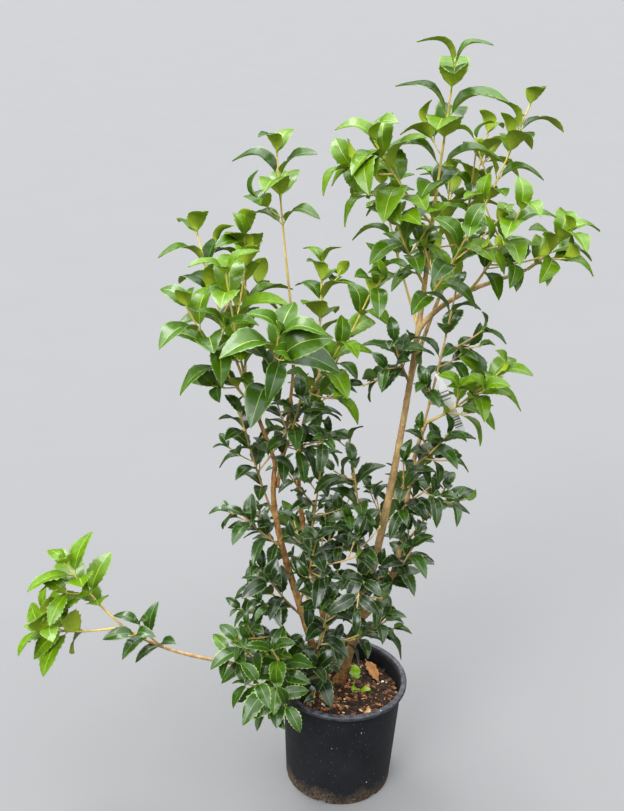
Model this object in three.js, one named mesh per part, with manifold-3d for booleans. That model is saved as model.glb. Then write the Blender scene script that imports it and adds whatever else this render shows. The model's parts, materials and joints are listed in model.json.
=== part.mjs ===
// A potted holly olive: an evergreen shrub of several leaning stems in a round black nursery pot.
// Millimetres, +Z up. The origin is the middle of the pot's flat underside, the photograph looks
// along +Y, and +X is to its right.
//
// The stems and boughs are tapering limbs. Every leafy shoot is one solid: a stem that starts from
// its limb, side twigs, and leaves in opposite pairs, each pair a quarter turn from the one below.
// A leaf or twig that would touch something else first turns aside, and is left out if it still does.

import * as THREE from 'three';
import { mergeVertices } from 'three/addons/utils/BufferGeometryUtils.js';
import Module from 'manifold-3d';

const wasm = await Module();
wasm.setup();

// Driving dimensions: the pot and its compost
const POT_HEIGHT = 227;
const RIM_RADIUS = 122.5;
const RIM_DEPTH = 8;
const RIM_OVERHANG = 9;
const BASE_RADIUS = 102;
const WALL = 2.2;
const FLOOR = 3;
const POT_SIDES = 32;
const DRAIN_SLOTS = 6;
const DRAIN_SLOT = { width: 16, height: 7, depth: 12 };
const SOIL_TOP = 197;
const SOIL_EDGE_DROP = 5;
const SOIL_FLAT_RADIUS = 62;

// Driving dimensions: how pieces meet
const CLEAR = 0.3;
const TOUCH = 1e-4;
const SHORTEST_EDGE = 5e-3;
const CLOSEST_CORNERS = 2e-3;
const THINNEST_TRIANGLE = 1e-3;
const CORNER = 3;

// Driving dimensions: limbs
const LIMB_SIDES = 6;
const LIMB_STEP = 90;
const ROOT_FLARE = 0.5;
const ROOT_FLARE_LENGTH = 26;

// Driving dimensions: stems and twigs of the leafy shoots
const STEM_RADIUS = 2.3;
const STEM_TIP_RADIUS = 1.3;
const STEM_STEP = 140;
const SAG = 0.1;
const TWIG_RADIUS = 1.6;
const TWIG_REACH = 0.3;
const TWIG_REACH_RANGE = 0.16;
const TWIG_FORWARD = 0.7;
const TWIG_ASIDE = 0.72;
const TWIG_TRIES = 7;
const TWIG_PAIRS = 2;
const TWIG_BARE = 0.35;
const TWIG_LEAF = 0.92;
const HIGHEST_TWIG = 0.8;
const TWIG_JITTER = 0.4;

// Driving dimensions: the space of a shoot, as shares of its leaves' length and of its own
const SPACE_LEAVES = 1.05;
const SPACE_TWIGS = 0.36;

// Driving dimensions: leaves, as shares of their length, and angles in degrees. The habit of young
// leaves, of old ones and of those on the low runner is how far the lowest and the highest pair lean
// out, and each blade's arch and droop.
const YOUNG_HABIT = { lean: [72, 50], arch: 0.21, droop: 0.12 };
const OLD_HABIT = { lean: [68, 46], arch: 0.15, droop: 0.16 };
const LOW_HABIT = { lean: [74, 62], arch: 0.12, droop: 0.06 };
const LEAF_WIDTH = 0.54;
const LEAF_WIDEST = 0.46;
const LEAF_THICKNESS = 0.03;
const BLADE_START = 0.2;
const TIP_LEAF = 0.74;
const FIRST_LEAF = 0.84;
const MIDDLE_LEAF = 0.2;
const SIZE_JITTER = 0.16;
const LAST_PAIR = 0.985;
const PAIR_CROWDING = 0.9;
const SPREAD_CURVE = 1.2;
const PAIR_JITTER = 24;
const LEAN_JITTER = 14;
const SPINS = [0, 15, 30, 45, 60, 75, 90, 105];
const TURNS = [0, 12, -12, 24, -24, 36, -36, 48, -48, 60, -60];
const TO_LIGHT = 1.2;
const YOUNG_LEAF = 70;
const SEED = 20;
const SEED_STEP = 7919;

// Stretches of trunk that the photograph shows: leaves and twigs keep out of the way to them. Each is
// given by the shares of its limb between which it lies, and how far in front of it stays free.
const SIGHTS = [
  { name: 'right_trunk', from: 0.3, to: 0.7, reach: 150 },
  { name: 'right_trunk', from: 0.02, to: 0.12, reach: 110 },
  { name: 'left_trunk', from: 0.2, to: 0.92, reach: 120 },
];
const SIGHT_AIM = [-94, 25];
const SIGHT_STEP = 22;
const SIGHT_STEPS = 7;
const LABEL_SIGHT = 110;

// Driving dimensions: the blank label and the shoot that it hangs on
const LABEL = {
  on: 'inner_top_shoot', at: 0.5, length: 112, width: 14, thickness: 1, neck: 5, collar: 4.2, lean: 26,
};

// Limbs, each through four points: its foot, a third and two thirds of the way, and its tip.
// A limb with a parent starts inside it and is cut clear of it.
const LIMBS = [
  { name: 'right_trunk', radius: [9, 3.2],
    through: [[-6, 24, 190], [50, 12, 500], [86, 4, 850], [103, 10, 1150]] },
  { name: 'left_trunk', radius: [8, 4],
    through: [[-36, 4, 190], [-84, -12, 385], [-129, -27, 560], [-136, -34, 700]] },
  { name: 'back_stem', radius: [6.5, 2.8],
    through: [[-13, 56, 190], [-66, 70, 420], [-98, 66, 620], [-70, 45, 824]] },
  { name: 'right_second_stem', parent: 'right_trunk', radius: [5.4, 3.2],
    through: [[24, 18, 340], [82, -24, 495], [93, -42, 650], [113, -50, 795]] },
  { name: 'right_outer_bough', parent: 'right_trunk', radius: [4.6, 2.6],
    through: [[93, 4, 940], [141, -10, 999], [197, -26, 1036], [253, -40, 1066]] },
  { name: 'right_back_bough', parent: 'right_trunk', radius: [3.8, 2.4],
    through: [[86, 4, 850], [108, 30, 925], [128, 46, 985], [150, 55, 1044]] },
  { name: 'left_outer_bough', parent: 'left_trunk', radius: [3.8, 2.8],
    through: [[-136, -34, 695], [-154, -38, 750], [-173, -40, 802], [-190, -40, 850]] },
  { name: 'left_inner_bough', parent: 'left_trunk', radius: [3.3, 2.3],
    through: [[-133, -30, 650], [-122, -10, 745], [-113, 10, 840], [-117, 30, 944]] },
  { name: 'low_runner', radius: [4.2, 2.3],
    through: [[-58, -18, 190], [-150, -38, 264], [-286, -57, 306], [-413, -70, 383]] },
];

// Leafy shoots by limb: the share of the limb where each starts, its aim (the heading round the plant
// and the rise above level, in degrees), its length, how many pairs of leaves it bears, the share of it
// that is bare, the length of its leaves, and its number of side twigs.
const SHOOTS = {
  right_trunk: {
    leader_top: { at: 1, aim: [-35, 86], length: 220, pairs: 6, bare: 0.12, leaf: 100, twigs: 0 },
    high_left_fan: { at: 0.96, aim: [-150, 50], length: 180, pairs: 5, bare: 0.35, leaf: 94, twigs: 2 },
    thin_left_shoot: { at: 0.76, aim: [120, 57], length: 275, pairs: 6, bare: 0.5, leaf: 72, twigs: 0 },
    crown_left_shoot: { at: 0.84, aim: [-135, 57], length: 165, pairs: 5, bare: 0.2, leaf: 72, twigs: 1 },
    crown_front_shoot: { at: 0.8, aim: [-70, 50], length: 220, pairs: 5, bare: 0.2, leaf: 76, twigs: 2 },
    crown_back_shoot: { at: 0.86, aim: [75, 23], length: 215, pairs: 5, bare: 0.25, leaf: 78, twigs: 2 },
    trunk_left_leaves: { at: 0.66, aim: [-125, 57], length: 110, pairs: 4, bare: 0.15, leaf: 66, twigs: 1 },
    right_foot_shoot: { at: 0.12, aim: [-30, 54], length: 105, pairs: 4, bare: 0.2, leaf: 64, twigs: 1 },
    middle_back_shoot: { at: 0.34, aim: [75, 19], length: 175, pairs: 5, bare: 0.2, leaf: 66, twigs: 3 },
    middle_up_shoot: { at: 0.28, aim: [-125, 73], length: 285, pairs: 4, bare: 0.5, leaf: 66, twigs: 1 },
    middle_front_shoot: { at: 0.2, aim: [-100, 61], length: 280, pairs: 5, bare: 0.2, leaf: 64, twigs: 2 },
  },
  left_trunk: {
    middle_dense_shoot: { at: 0.36, aim: [-75, 63], length: 220, pairs: 5, bare: 0.15, leaf: 64, twigs: 2 },
    rosette_front: { at: 0.14, aim: [-80, 61], length: 235, pairs: 5, bare: 0.2, leaf: 64, twigs: 2 },
    left_side_spray: { at: 0.7, aim: [-140, 71], length: 255, pairs: 5, bare: 0.4, leaf: 62, twigs: 1 },
    left_waist_shoot: { at: 0.6, aim: [-150, 47], length: 110, pairs: 5, bare: 0.15, leaf: 60, twigs: 2 },
    foot_left_shoot: { at: 0.3, aim: [-145, 56], length: 165, pairs: 4, bare: 0.25, leaf: 62, twigs: 1 },
    foot_lower_left: { at: 0.12, aim: [-155, 55], length: 200, pairs: 4, bare: 0.4, leaf: 64, twigs: 1 },
    soil_rosette: { at: 0.04, aim: [-100, 48], length: 125, pairs: 4, bare: 0.2, leaf: 66, twigs: 0 },
  },
  back_stem: {
    middle_core_shoot: { at: 0.3, aim: [-60, 69], length: 195, pairs: 5, bare: 0.15, leaf: 64, twigs: 2 },
    centre_thin_shoot: { at: 0.4, aim: [-75, 73], length: 245, pairs: 4, bare: 0.3, leaf: 56, twigs: 1 },
    centre_right_shoot: { at: 1, aim: [90, 60], length: 205, pairs: 6, bare: 0.2, leaf: 76, twigs: 0 },
    centre_reach_shoot: { at: 0.9, aim: [-15, 67], length: 300, pairs: 5, bare: 0.4, leaf: 76, twigs: 0 },
    left_heart_back: { at: 0.72, aim: [75, 34], length: 150, pairs: 5, bare: 0.2, leaf: 68, twigs: 2 },
    back_low_shoot: { at: 0.35, aim: [110, 9], length: 135, pairs: 5, bare: 0.2, leaf: 66, twigs: 2 },
  },
  right_second_stem: {
    low_bright_shoot: { at: 1, aim: [-30, 46], length: 170, pairs: 6, bare: 0.25, leaf: 72, twigs: 2 },
    inner_top_shoot: { at: 0.92, aim: [-5, 82], length: 275, pairs: 6, bare: 0.3, leaf: 66, twigs: 1 },
    mid_right_shoot: { at: 0.8, aim: [-45, 52], length: 110, pairs: 5, bare: 0.15, leaf: 60, twigs: 1 },
    mid_front_shoot: { at: 0.55, aim: [-105, 69], length: 155, pairs: 5, bare: 0.15, leaf: 64, twigs: 1 },
    right_side_shoot: { at: 0.42, aim: [-25, 63], length: 160, pairs: 3, bare: 0.5, leaf: 62, twigs: 0 },
    right_low_shoot: { at: 0.25, aim: [-65, 58], length: 135, pairs: 5, bare: 0.15, leaf: 62, twigs: 2 },
  },
  right_outer_bough: {
    outer_tip: { at: 1, aim: [-20, 51], length: 85, pairs: 4, bare: 0.15, leaf: 84, twigs: 1 },
    outer_front_shoot: { at: 0.5, aim: [-55, 59], length: 180, pairs: 5, bare: 0.3, leaf: 80, twigs: 2 },
  },
  right_back_bough: {
    high_right_shoot: { at: 1, aim: [35, 62], length: 280, pairs: 6, bare: 0.25, leaf: 80, twigs: 1 },
    high_back_shoot: { at: 0.8, aim: [65, 55], length: 270, pairs: 5, bare: 0.3, leaf: 76, twigs: 1 },
  },
  left_outer_bough: {
    left_top_shoot: { at: 0.8, aim: [135, 61], length: 290, pairs: 5, bare: 0.25, leaf: 98, twigs: 1 },
    left_middle_top: { at: 1, aim: [95, 59], length: 250, pairs: 6, bare: 0.2, leaf: 90, twigs: 1 },
    left_front_fan: { at: 0.55, aim: [-75, 57], length: 240, pairs: 4, bare: 0.52, leaf: 106, twigs: 0 },
    left_outer_spray: { at: 0.68, aim: [-160, 59], length: 220, pairs: 5, bare: 0.25, leaf: 94, twigs: 1 },
    left_upper_spray: { at: 0.9, aim: [-125, 75], length: 225, pairs: 5, bare: 0.25, leaf: 96, twigs: 1 },
  },
  left_inner_bough: {
    tall_left_leader: { at: 1, aim: [165, 83], length: 275, pairs: 4, bare: 0.62, leaf: 90, twigs: 0 },
    centre_low_shoot: { at: 0.45, aim: [-35, 57], length: 180, pairs: 5, bare: 0.25, leaf: 80, twigs: 1 },
    left_heart_front: { at: 0.15, aim: [-70, 61], length: 185, pairs: 5, bare: 0.15, leaf: 66, twigs: 1 },
  },
  low_runner: {
    rim_left_spray: { at: 0.3, aim: [-150, 53], length: 110, pairs: 5, bare: 0.15, leaf: 76, twigs: 2 },
    rim_front_spray: { at: 0.12, aim: [-120, 55], length: 170, pairs: 5, bare: 0.2, leaf: 72, twigs: 2 },
    rim_hanging_spray: { at: 0.08, aim: [-120, 36], length: 200, pairs: 4, bare: 0.3, leaf: 74, twigs: 2 },
    runner_leaves: { at: 0.78, aim: [-150, 55], length: 80, pairs: 3, bare: 0.1, leaf: 66, twigs: 0 },
    runner_upper_tip: { at: 1, aim: [175, 52], length: 145, pairs: 5, bare: 0.35, leaf: 88, twigs: 1 },
    runner_lower_tip: { at: 0.97, aim: [-170, 2], length: 145, pairs: 4, bare: 0.5, leaf: 86, twigs: 1 },
  },
};

// Plain colours, one for each kind of piece
const LOOKS = {
  pot: { color: 0x1b1d20, roughness: 0.5 },
  compost: { color: 0x3b2618, roughness: 0.95 },
  bark: { color: 0x9a7a4c, roughness: 0.8 },
  youngLeaves: { color: 0x5a9a2e, roughness: 0.4 },
  oldLeaves: { color: 0x2c5c28, roughness: 0.4 },
  label: { color: 0xe8e8e4, roughness: 0.5 },
};

const DOWN = new THREE.Vector3(0, 0, -1);

const material = (look) => new THREE.MeshStandardMaterial({ metalness: 0, ...LOOKS[look] });

const plant = new THREE.Group();

// Gives the group one named piece.
function addPiece(name, solid, look) {
  const mesh = new THREE.Mesh(geometryOf(solid), material(look));
  mesh.name = name;
  plant.add(mesh);
}

// A run of numbers from 0 to 1 that follows from the seed.
function dice(seed) {
  let state = seed >>> 0;
  return () => {
    state = (Math.imul(state, 1664525) + 1013904223) >>> 0;
    return state / 4294967296;
  };
}

const radians = THREE.MathUtils.degToRad;

// The unit vector with a heading round +Z and a rise above level, both in degrees.
function pointing(turn, rise) {
  const level = Math.cos(radians(rise));
  const heading = radians(turn);
  return new THREE.Vector3(level * Math.cos(heading), level * Math.sin(heading), Math.sin(radians(rise)));
}

// The solid of a closed geometry whose vertices are shared.
function solidOf(geometry) {
  return new wasm.Manifold(new wasm.Mesh({
    numProp: 3,
    vertProperties: new Float32Array(geometry.attributes.position.array),
    triVerts: new Uint32Array(geometry.index.array),
  }));
}

// The same for one of three.js's own shapes, whose vertices are first merged.
function solidOfShape(shape) {
  const bare = shape.clone();
  bare.deleteAttribute('normal');
  bare.deleteAttribute('uv');
  return solidOf(mergeVertices(bare, 1e-3));
}

// A solid's surface as a geometry.
function geometryOf(solid) {
  const mesh = solid.getMesh();
  const geometry = new THREE.BufferGeometry();
  geometry.setAttribute('position', new THREE.BufferAttribute(mesh.vertProperties, mesh.numProp));
  geometry.setIndex(new THREE.BufferAttribute(mesh.triVerts, 1));
  return geometry;
}

// The largest body of a solid: loose scraps and sealed hollows are dropped.
function mainBody(solid) {
  return solid.decompose().reduce((best, body) => (body.volume() > best.volume() ? body : best));
}

// How many pairs of a solid's corners lie too close together.
function closeCorners(position) {
  const corners = [];
  for (let i = 0; i < position.count; i++) {
    corners.push(new THREE.Vector3().fromBufferAttribute(position, i));
  }
  corners.sort((a, b) => a.x - b.x);
  let count = 0;
  corners.forEach((corner, i) => {
    for (let j = i + 1; j < corners.length && corners[j].x - corner.x < CLOSEST_CORNERS; j++) {
      if (corners[j].distanceTo(corner) < CLOSEST_CORNERS) count += 1;
    }
  });
  return count;
}

// How many slivers a solid has: doubled corners or edges, and triangles with a very short edge or
// no height.
function slivers(solid) {
  const geometry = geometryOf(solid);
  const { position } = geometry.attributes;
  const corners = Array.from(geometry.index.array);
  const point = (i) => new THREE.Vector3().fromBufferAttribute(position, corners[i]);
  const edges = new Set();
  let count = closeCorners(position);
  for (let i = 0; i < corners.length; i += 3) {
    const triangle = new THREE.Triangle(point(i), point(i + 1), point(i + 2));
    const lengths = [0, 1, 2].map((j) => point(i + j).distanceTo(point(i + ((j + 1) % 3))));
    const height = (2 * triangle.getArea()) / Math.max(...lengths);
    if (Math.min(...lengths) < SHORTEST_EDGE || height < THINNEST_TRIANGLE) count += 1;
    for (const j of [0, 1, 2]) edges.add(`${corners[i + j]} ${corners[i + ((j + 1) % 3)]}`);
  }
  return count + corners.length - edges.size;
}

// Joins a twig or leaf to its shoot, unless that leaves a sliver at the seam.
function join(shoot, solid) {
  const joined = shoot.solid.add(solid);
  if (slivers(joined) > slivers(shoot.solid)) return false;
  shoot.solid = joined;
  return true;
}

// A closed shape from its points and the triangles between them.
function closedShape(points, triangles) {
  const geometry = new THREE.BufferGeometry();
  const places = points.flatMap(({ x, y, z }) => [x, y, z]);
  geometry.setAttribute('position', new THREE.Float32BufferAttribute(places, 3));
  geometry.setIndex(triangles.flat());
  return geometry;
}

// The curve that passes four points at equal steps, as a cubic Bezier.
function curveThrough([start, third, twoThirds, end]) {
  const mix = (a, b, c, d) => new THREE.Vector3()
    .addScaledVector(start, a / 6).addScaledVector(third, b / 6)
    .addScaledVector(twoThirds, c / 6).addScaledVector(end, d / 6);
  return new THREE.CubicBezierCurve3(start, mix(-5, 18, -9, 2), mix(2, -9, 18, -5), end);
}

// The bowed path of a shoot or twig: it sags below the straight line, so that its tip turns up.
function bowed(start, end) {
  const middle = start.clone().lerp(end, 0.5).addScaledVector(DOWN, SAG * start.distanceTo(end));
  return new THREE.QuadraticBezierCurve3(start, middle, end);
}

// Two directions square to one that is given, the first of them level.
function squareTo(along) {
  const level = new THREE.Vector3(-along.y, along.x, 0);
  if (level.lengthSq() < 1e-6) level.set(1, 0, 0);
  level.normalize();
  return [level, new THREE.Vector3().crossVectors(along, level)];
}

// A tapering rod along a curve, closed at both ends. spin turns its sides about the curve.
function rod(curve, radiusAt, sides, steps, spin = 0) {
  const points = [];
  const triangles = [];
  let [level] = squareTo(curve.getTangent(0));
  for (let i = 0; i <= steps; i++) {
    const share = i / steps;
    const along = curve.getTangent(share);
    level = level.clone().addScaledVector(along, -level.dot(along)).normalize();
    const across = new THREE.Vector3().crossVectors(along, level);
    for (let j = 0; j < sides; j++) {
      const angle = (2 * Math.PI * j) / sides + radians(spin);
      points.push(curve.getPoint(share)
        .addScaledVector(level, Math.cos(angle) * radiusAt(share))
        .addScaledVector(across, Math.sin(angle) * radiusAt(share)));
    }
  }
  const ring = (i, j) => i * sides + (j % sides);
  for (let i = 0; i < steps; i++) {
    for (let j = 0; j < sides; j++) {
      triangles.push([ring(i, j), ring(i, j + 1), ring(i + 1, j + 1)]);
      triangles.push([ring(i, j), ring(i + 1, j + 1), ring(i + 1, j)]);
    }
  }
  for (let j = 1; j < sides - 1; j++) {
    triangles.push([ring(0, 0), ring(0, j + 1), ring(0, j)]);
    triangles.push([ring(steps, 0), ring(steps, j), ring(steps, j + 1)]);
  }
  return solidOf(closedShape(points, triangles));
}

function boxOf(solid) {
  const { min, max } = solid.boundingBox();
  return new THREE.Box3(new THREE.Vector3(...min), new THREE.Vector3(...max));
}

// What is in place so far: each thing's solid, the blade of it if it is a leaf, and its piece.
const placed = [];

function place(solid, owner, blade = solid) {
  placed.push({ solid, blade, owner, box: boxOf(solid) });
}

// Whether a solid meets another piece, or its blade meets something of its own piece.
function touches(solid, owner, blade) {
  const box = boxOf(solid);
  return placed.some((other) => {
    if (!other.box.intersectsBox(box)) return false;
    const [mine, theirs] = other.owner === owner ? [blade, other.blade] : [solid, other.solid];
    return mine !== undefined && mine.intersect(theirs).volume() > TOUCH;
  });
}

// A round piece from its outline, given as radius and height.
function turned(outline) {
  const shape = new THREE.LatheGeometry(outline.map((point) => new THREE.Vector2(...point)), POT_SIDES);
  shape.rotateX(Math.PI / 2);
  return solidOfShape(shape);
}

// The pot: a tapering wall, a rolled rim that stands out of it, a flat floor, and drain slots.
function makePot() {
  const wallTop = RIM_RADIUS - RIM_OVERHANG;
  const underRim = POT_HEIGHT - RIM_DEPTH;
  let pot = turned([
    [0, 0], [BASE_RADIUS - CORNER, 0], [BASE_RADIUS, CORNER],
    [wallTop, underRim], [RIM_RADIUS, underRim],
    [RIM_RADIUS, POT_HEIGHT - CORNER], [RIM_RADIUS - CORNER, POT_HEIGHT], [wallTop, POT_HEIGHT],
    [wallTop - WALL, POT_HEIGHT - CORNER], [BASE_RADIUS - WALL, FLOOR], [0, FLOOR],
  ]);
  for (let i = 0; i < DRAIN_SLOTS; i++) {
    const slot = new THREE.BoxGeometry(2 * DRAIN_SLOT.depth, DRAIN_SLOT.width, 2 * DRAIN_SLOT.height);
    slot.translate(BASE_RADIUS, 0, 0);
    slot.rotateZ((2 * Math.PI * (i + 0.2)) / DRAIN_SLOTS);
    pot = pot.subtract(solidOfShape(slot));
  }
  place(pot, 'pot');
  addPiece('pot', pot, 'pot');
}

// The compost that fills the pot to below its rim: flat round the stems and lower at the wall.
function makeCompost() {
  const slope = (RIM_RADIUS - RIM_OVERHANG - BASE_RADIUS) / (POT_HEIGHT - CORNER - FLOOR);
  const inside = (height) => BASE_RADIUS - WALL - 2 * CLEAR + slope * (height - FLOOR);
  const edge = SOIL_TOP - SOIL_EDGE_DROP;
  const foot = FLOOR + CLEAR;
  const compost = turned([
    [0, foot], [inside(foot), foot], [inside(edge), edge], [SOIL_FLAT_RADIUS, SOIL_TOP], [0, SOIL_TOP],
  ]);
  place(compost, 'compost');
  addPiece('compost', compost, 'compost');
}

const limbs = new Map();

// A bare limb. One that stands in the compost has a flare and a flat cut at its foot, and one with
// a parent starts from it, cut clear of it.
function makeLimb({ name, parent, radius: [thick, thin], through }) {
  const curve = curveThrough(through.map((point) => new THREE.Vector3(...point)));
  const length = curve.getLength();
  const flare = parent ? 0 : ROOT_FLARE;
  const radiusAt = (share) => THREE.MathUtils.lerp(thick, thin, share)
    * (1 + flare * Math.exp((-share * length) / ROOT_FLARE_LENGTH));
  const steps = Math.max(5, Math.round(length / LIMB_STEP));
  let solid = rod(curve, radiusAt, LIMB_SIDES, steps);
  if (parent) {
    solid = mainBody(solid.subtract(limbs.get(parent).cleared));
  } else {
    const below = new THREE.BoxGeometry(4 * RIM_RADIUS, 4 * RIM_RADIUS, SOIL_TOP);
    below.translate(0, 0, SOIL_TOP / 2 + CLEAR);
    solid = solid.subtract(solidOfShape(below));
  }
  // The same limb, larger all round by the clearance, cuts what starts from it.
  const longer = new THREE.CubicBezierCurve3(curve.v0, curve.v1, curve.v2,
    curve.v3.clone().addScaledVector(curve.getTangent(1), CLEAR));
  const cleared = rod(longer, (share) => radiusAt(share) + CLEAR, LIMB_SIDES, steps);
  limbs.set(name, { curve, radiusAt, cleared });
  place(cleared, name);
  addPiece(name, solid, 'bark');
}

// A leaf's solid: a blade that arches from its stalk to its tip, flat above and with a keel below.
// from is where it starts, as a share of its length, and grow makes it larger all round.
function leafSolid({ root, out, up, length, habit }, from = 0, grow = 0) {
  const side = new THREE.Vector3().crossVectors(out, up);
  const half = (length * LEAF_WIDTH) / 2 + grow;
  const thick = length * LEAF_THICKNESS + grow;
  const spine = (share) => root.clone()
    .addScaledVector(out, share * length)
    .addScaledVector(up, habit.arch * Math.sin(Math.PI * share) * length + (share > 0 ? grow : 0))
    .addScaledVector(DOWN, habit.droop * share * share * length);
  const widest = spine(LEAF_WIDEST);
  const points = [
    spine(from),
    widest.clone().addScaledVector(side, half),
    spine(1),
    widest.clone().addScaledVector(side, -half),
    widest.clone().addScaledVector(up, -thick),
  ];
  return solidOf(closedShape(points, [[0, 1, 3], [1, 2, 3], [1, 0, 4], [2, 1, 4], [3, 2, 4], [0, 3, 4]]));
}

const shoots = [];

// The stem of a leafy shoot, from the axis of its limb to its tip, and the room that the shoot keeps to
// on every side of it.
function startShoot(name, limb, row) {
  const { at, aim, length, leaf, twigs } = row;
  const start = limb.curve.getPoint(at);
  const path = bowed(start, start.clone().addScaledVector(pointing(...aim), length));
  const thick = Math.min(STEM_RADIUS, limb.radiusAt(at));
  const radiusAt = (share) => THREE.MathUtils.lerp(thick, STEM_TIP_RADIUS, share);
  const steps = Math.max(2, Math.round(length / STEM_STEP));
  // Its three sides are turned about it to where the end that is cut clear of the limb is cleanest.
  const cuts = SPINS.map((spin) => {
    const solid = mainBody(rod(path, radiusAt, 3, steps, spin).subtract(limb.cleared));
    return { solid, spin, slivers: slivers(solid) };
  });
  const { solid, spin } = cuts.reduce((best, cut) => (cut.slivers < best.slivers ? cut : best));
  const cleared = rod(path, (share) => radiusAt(share) + 2 * CLEAR, 3, steps, spin);
  place(cleared, name);
  const room = SPACE_LEAVES * leaf + (twigs > 0 ? SPACE_TWIGS * length : 0);
  const roll = dice(SEED + SEED_STEP * shoots.length);
  const youngHabit = limb === limbs.get('low_runner') ? LOW_HABIT : YOUNG_HABIT;
  const habit = leaf >= YOUNG_LEAF ? youngHabit : OLD_HABIT;
  shoots.push({ ...row, name, path, cleared, solid, room, roll, habit, twigPaths: [] });
}

// Keeps the way to a stretch of trunk free, with copies of it that come nearer to the viewer.
function openSight({ name, from, to, reach }) {
  const { curve, radiusAt } = limbs.get(name);
  const shareOf = (way) => THREE.MathUtils.lerp(from, to, way);
  for (let distance = SIGHT_STEP; distance < reach; distance += SIGHT_STEP) {
    const nearer = {
      getPoint: (way) => curve.getPoint(shareOf(way)).addScaledVector(pointing(...SIGHT_AIM), distance),
      getTangent: (way) => curve.getTangent(shareOf(way)),
    };
    place(rod(nearer, (way) => radiusAt(shareOf(way)), LIMB_SIDES, SIGHT_STEPS), 'sight');
  }
}

// Whether a point lies outside the space that a shoot keeps to.
function leavesSpace(shoot, point) {
  const line = new THREE.Line3(shoot.path.v0, shoot.path.v2);
  const nearest = line.closestPointToPoint(point, true, new THREE.Vector3());
  return nearest.distanceTo(point) > shoot.room;
}

// The blank plant label: a collar round a stem, and a strip with a neck that hangs from it. The way to
// it is kept free like that to the trunks.
function hangLabel(shoot) {
  const collar = new THREE.CylinderGeometry(LABEL.collar, LABEL.collar, LABEL.neck, 10);
  collar.rotateX(Math.PI / 2);
  const { neck, width, length, thickness } = LABEL;
  const outline = [[neck, 0], [neck, 1.5 * neck], [width, 2.5 * neck], [width, length]];
  const side = outline.map(([across, down]) => new THREE.Vector2(across / 2, -down));
  const otherSide = outline.map(([across, down]) => new THREE.Vector2(-across / 2, -down)).reverse();
  const shape = new THREE.Shape([...side, ...otherSide]);
  const strip = new THREE.ExtrudeGeometry(shape, { depth: thickness, bevelEnabled: false });
  strip.rotateX(Math.PI / 2);
  strip.rotateY(-radians(LABEL.lean));
  strip.translate(0, thickness - LABEL.collar, 0);
  const at = shoot.path.getPoint(LABEL.at).toArray();
  const label = solidOfShape(collar).add(solidOfShape(strip)).translate(at).subtract(shoot.cleared);
  place(label, 'label');
  addPiece('label', label, 'label');
  for (let distance = SIGHT_STEP; distance < LABEL_SIGHT; distance += SIGHT_STEP) {
    const nearer = pointing(...SIGHT_AIM).multiplyScalar(distance);
    place(label.translate(nearer.toArray()), 'sight');
  }
}

// A side twig of a shoot. It tries several directions, and is left out where each touches something
// or leaves the shoot's space.
function addTwig(shoot, share) {
  const root = shoot.path.getPoint(share);
  const along = shoot.path.getTangent(share);
  const [level, across] = squareTo(along);
  const reach = shoot.length * (TWIG_REACH + TWIG_REACH_RANGE * shoot.roll());
  const firstAngle = 2 * Math.PI * shoot.roll();
  for (let i = 0; i < TWIG_TRIES; i++) {
    const angle = firstAngle + (2 * Math.PI * i) / TWIG_TRIES;
    const end = root.clone().addScaledVector(along, TWIG_FORWARD * reach)
      .addScaledVector(level, TWIG_ASIDE * reach * Math.cos(angle))
      .addScaledVector(across, TWIG_ASIDE * reach * Math.sin(angle));
    const path = bowed(root, end);
    const radiusAt = (way) => THREE.MathUtils.lerp(TWIG_RADIUS, STEM_TIP_RADIUS, way);
    const grown = rod(path, (way) => radiusAt(way) + CLEAR, 3, 2);
    const fits = !leavesSpace(shoot, end) && !touches(grown, shoot.name);
    if (fits && join(shoot, rod(path, radiusAt, 3, 2))) {
      place(grown, shoot.name);
      shoot.twigPaths.push(path);
      return;
    }
  }
}

// One leaf of a pair. It turns aside where it would touch something or leave the shoot's space, and is
// left out at the last.
function addLeaf(shoot, frame, pairTurn, lean, length) {
  for (const aside of TURNS) {
    const angle = radians(pairTurn + aside);
    const away = frame.level.clone().multiplyScalar(Math.cos(angle))
      .addScaledVector(frame.across, Math.sin(angle));
    const out = frame.along.clone().multiplyScalar(Math.cos(lean)).addScaledVector(away, Math.sin(lean));
    // The blade turns its upper face to the tip of its stem and to the light.
    const up = frame.along.clone().multiplyScalar(Math.sin(lean)).addScaledVector(away, -Math.cos(lean));
    up.addScaledVector(DOWN, -TO_LIGHT);
    up.addScaledVector(out, -up.dot(out)).normalize();
    const leaf = { root: frame.root, out, up, length, habit: shoot.habit };
    const grown = leafSolid(leaf, 0, CLEAR);
    const blade = leafSolid(leaf, BLADE_START, CLEAR);
    const tip = frame.root.clone().addScaledVector(out, length);
    const fits = !leavesSpace(shoot, tip) && !touches(grown, shoot.name, blade);
    if (fits && join(shoot, leafSolid(leaf))) {
      place(grown, shoot.name, blade);
      return;
    }
  }
}

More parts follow.
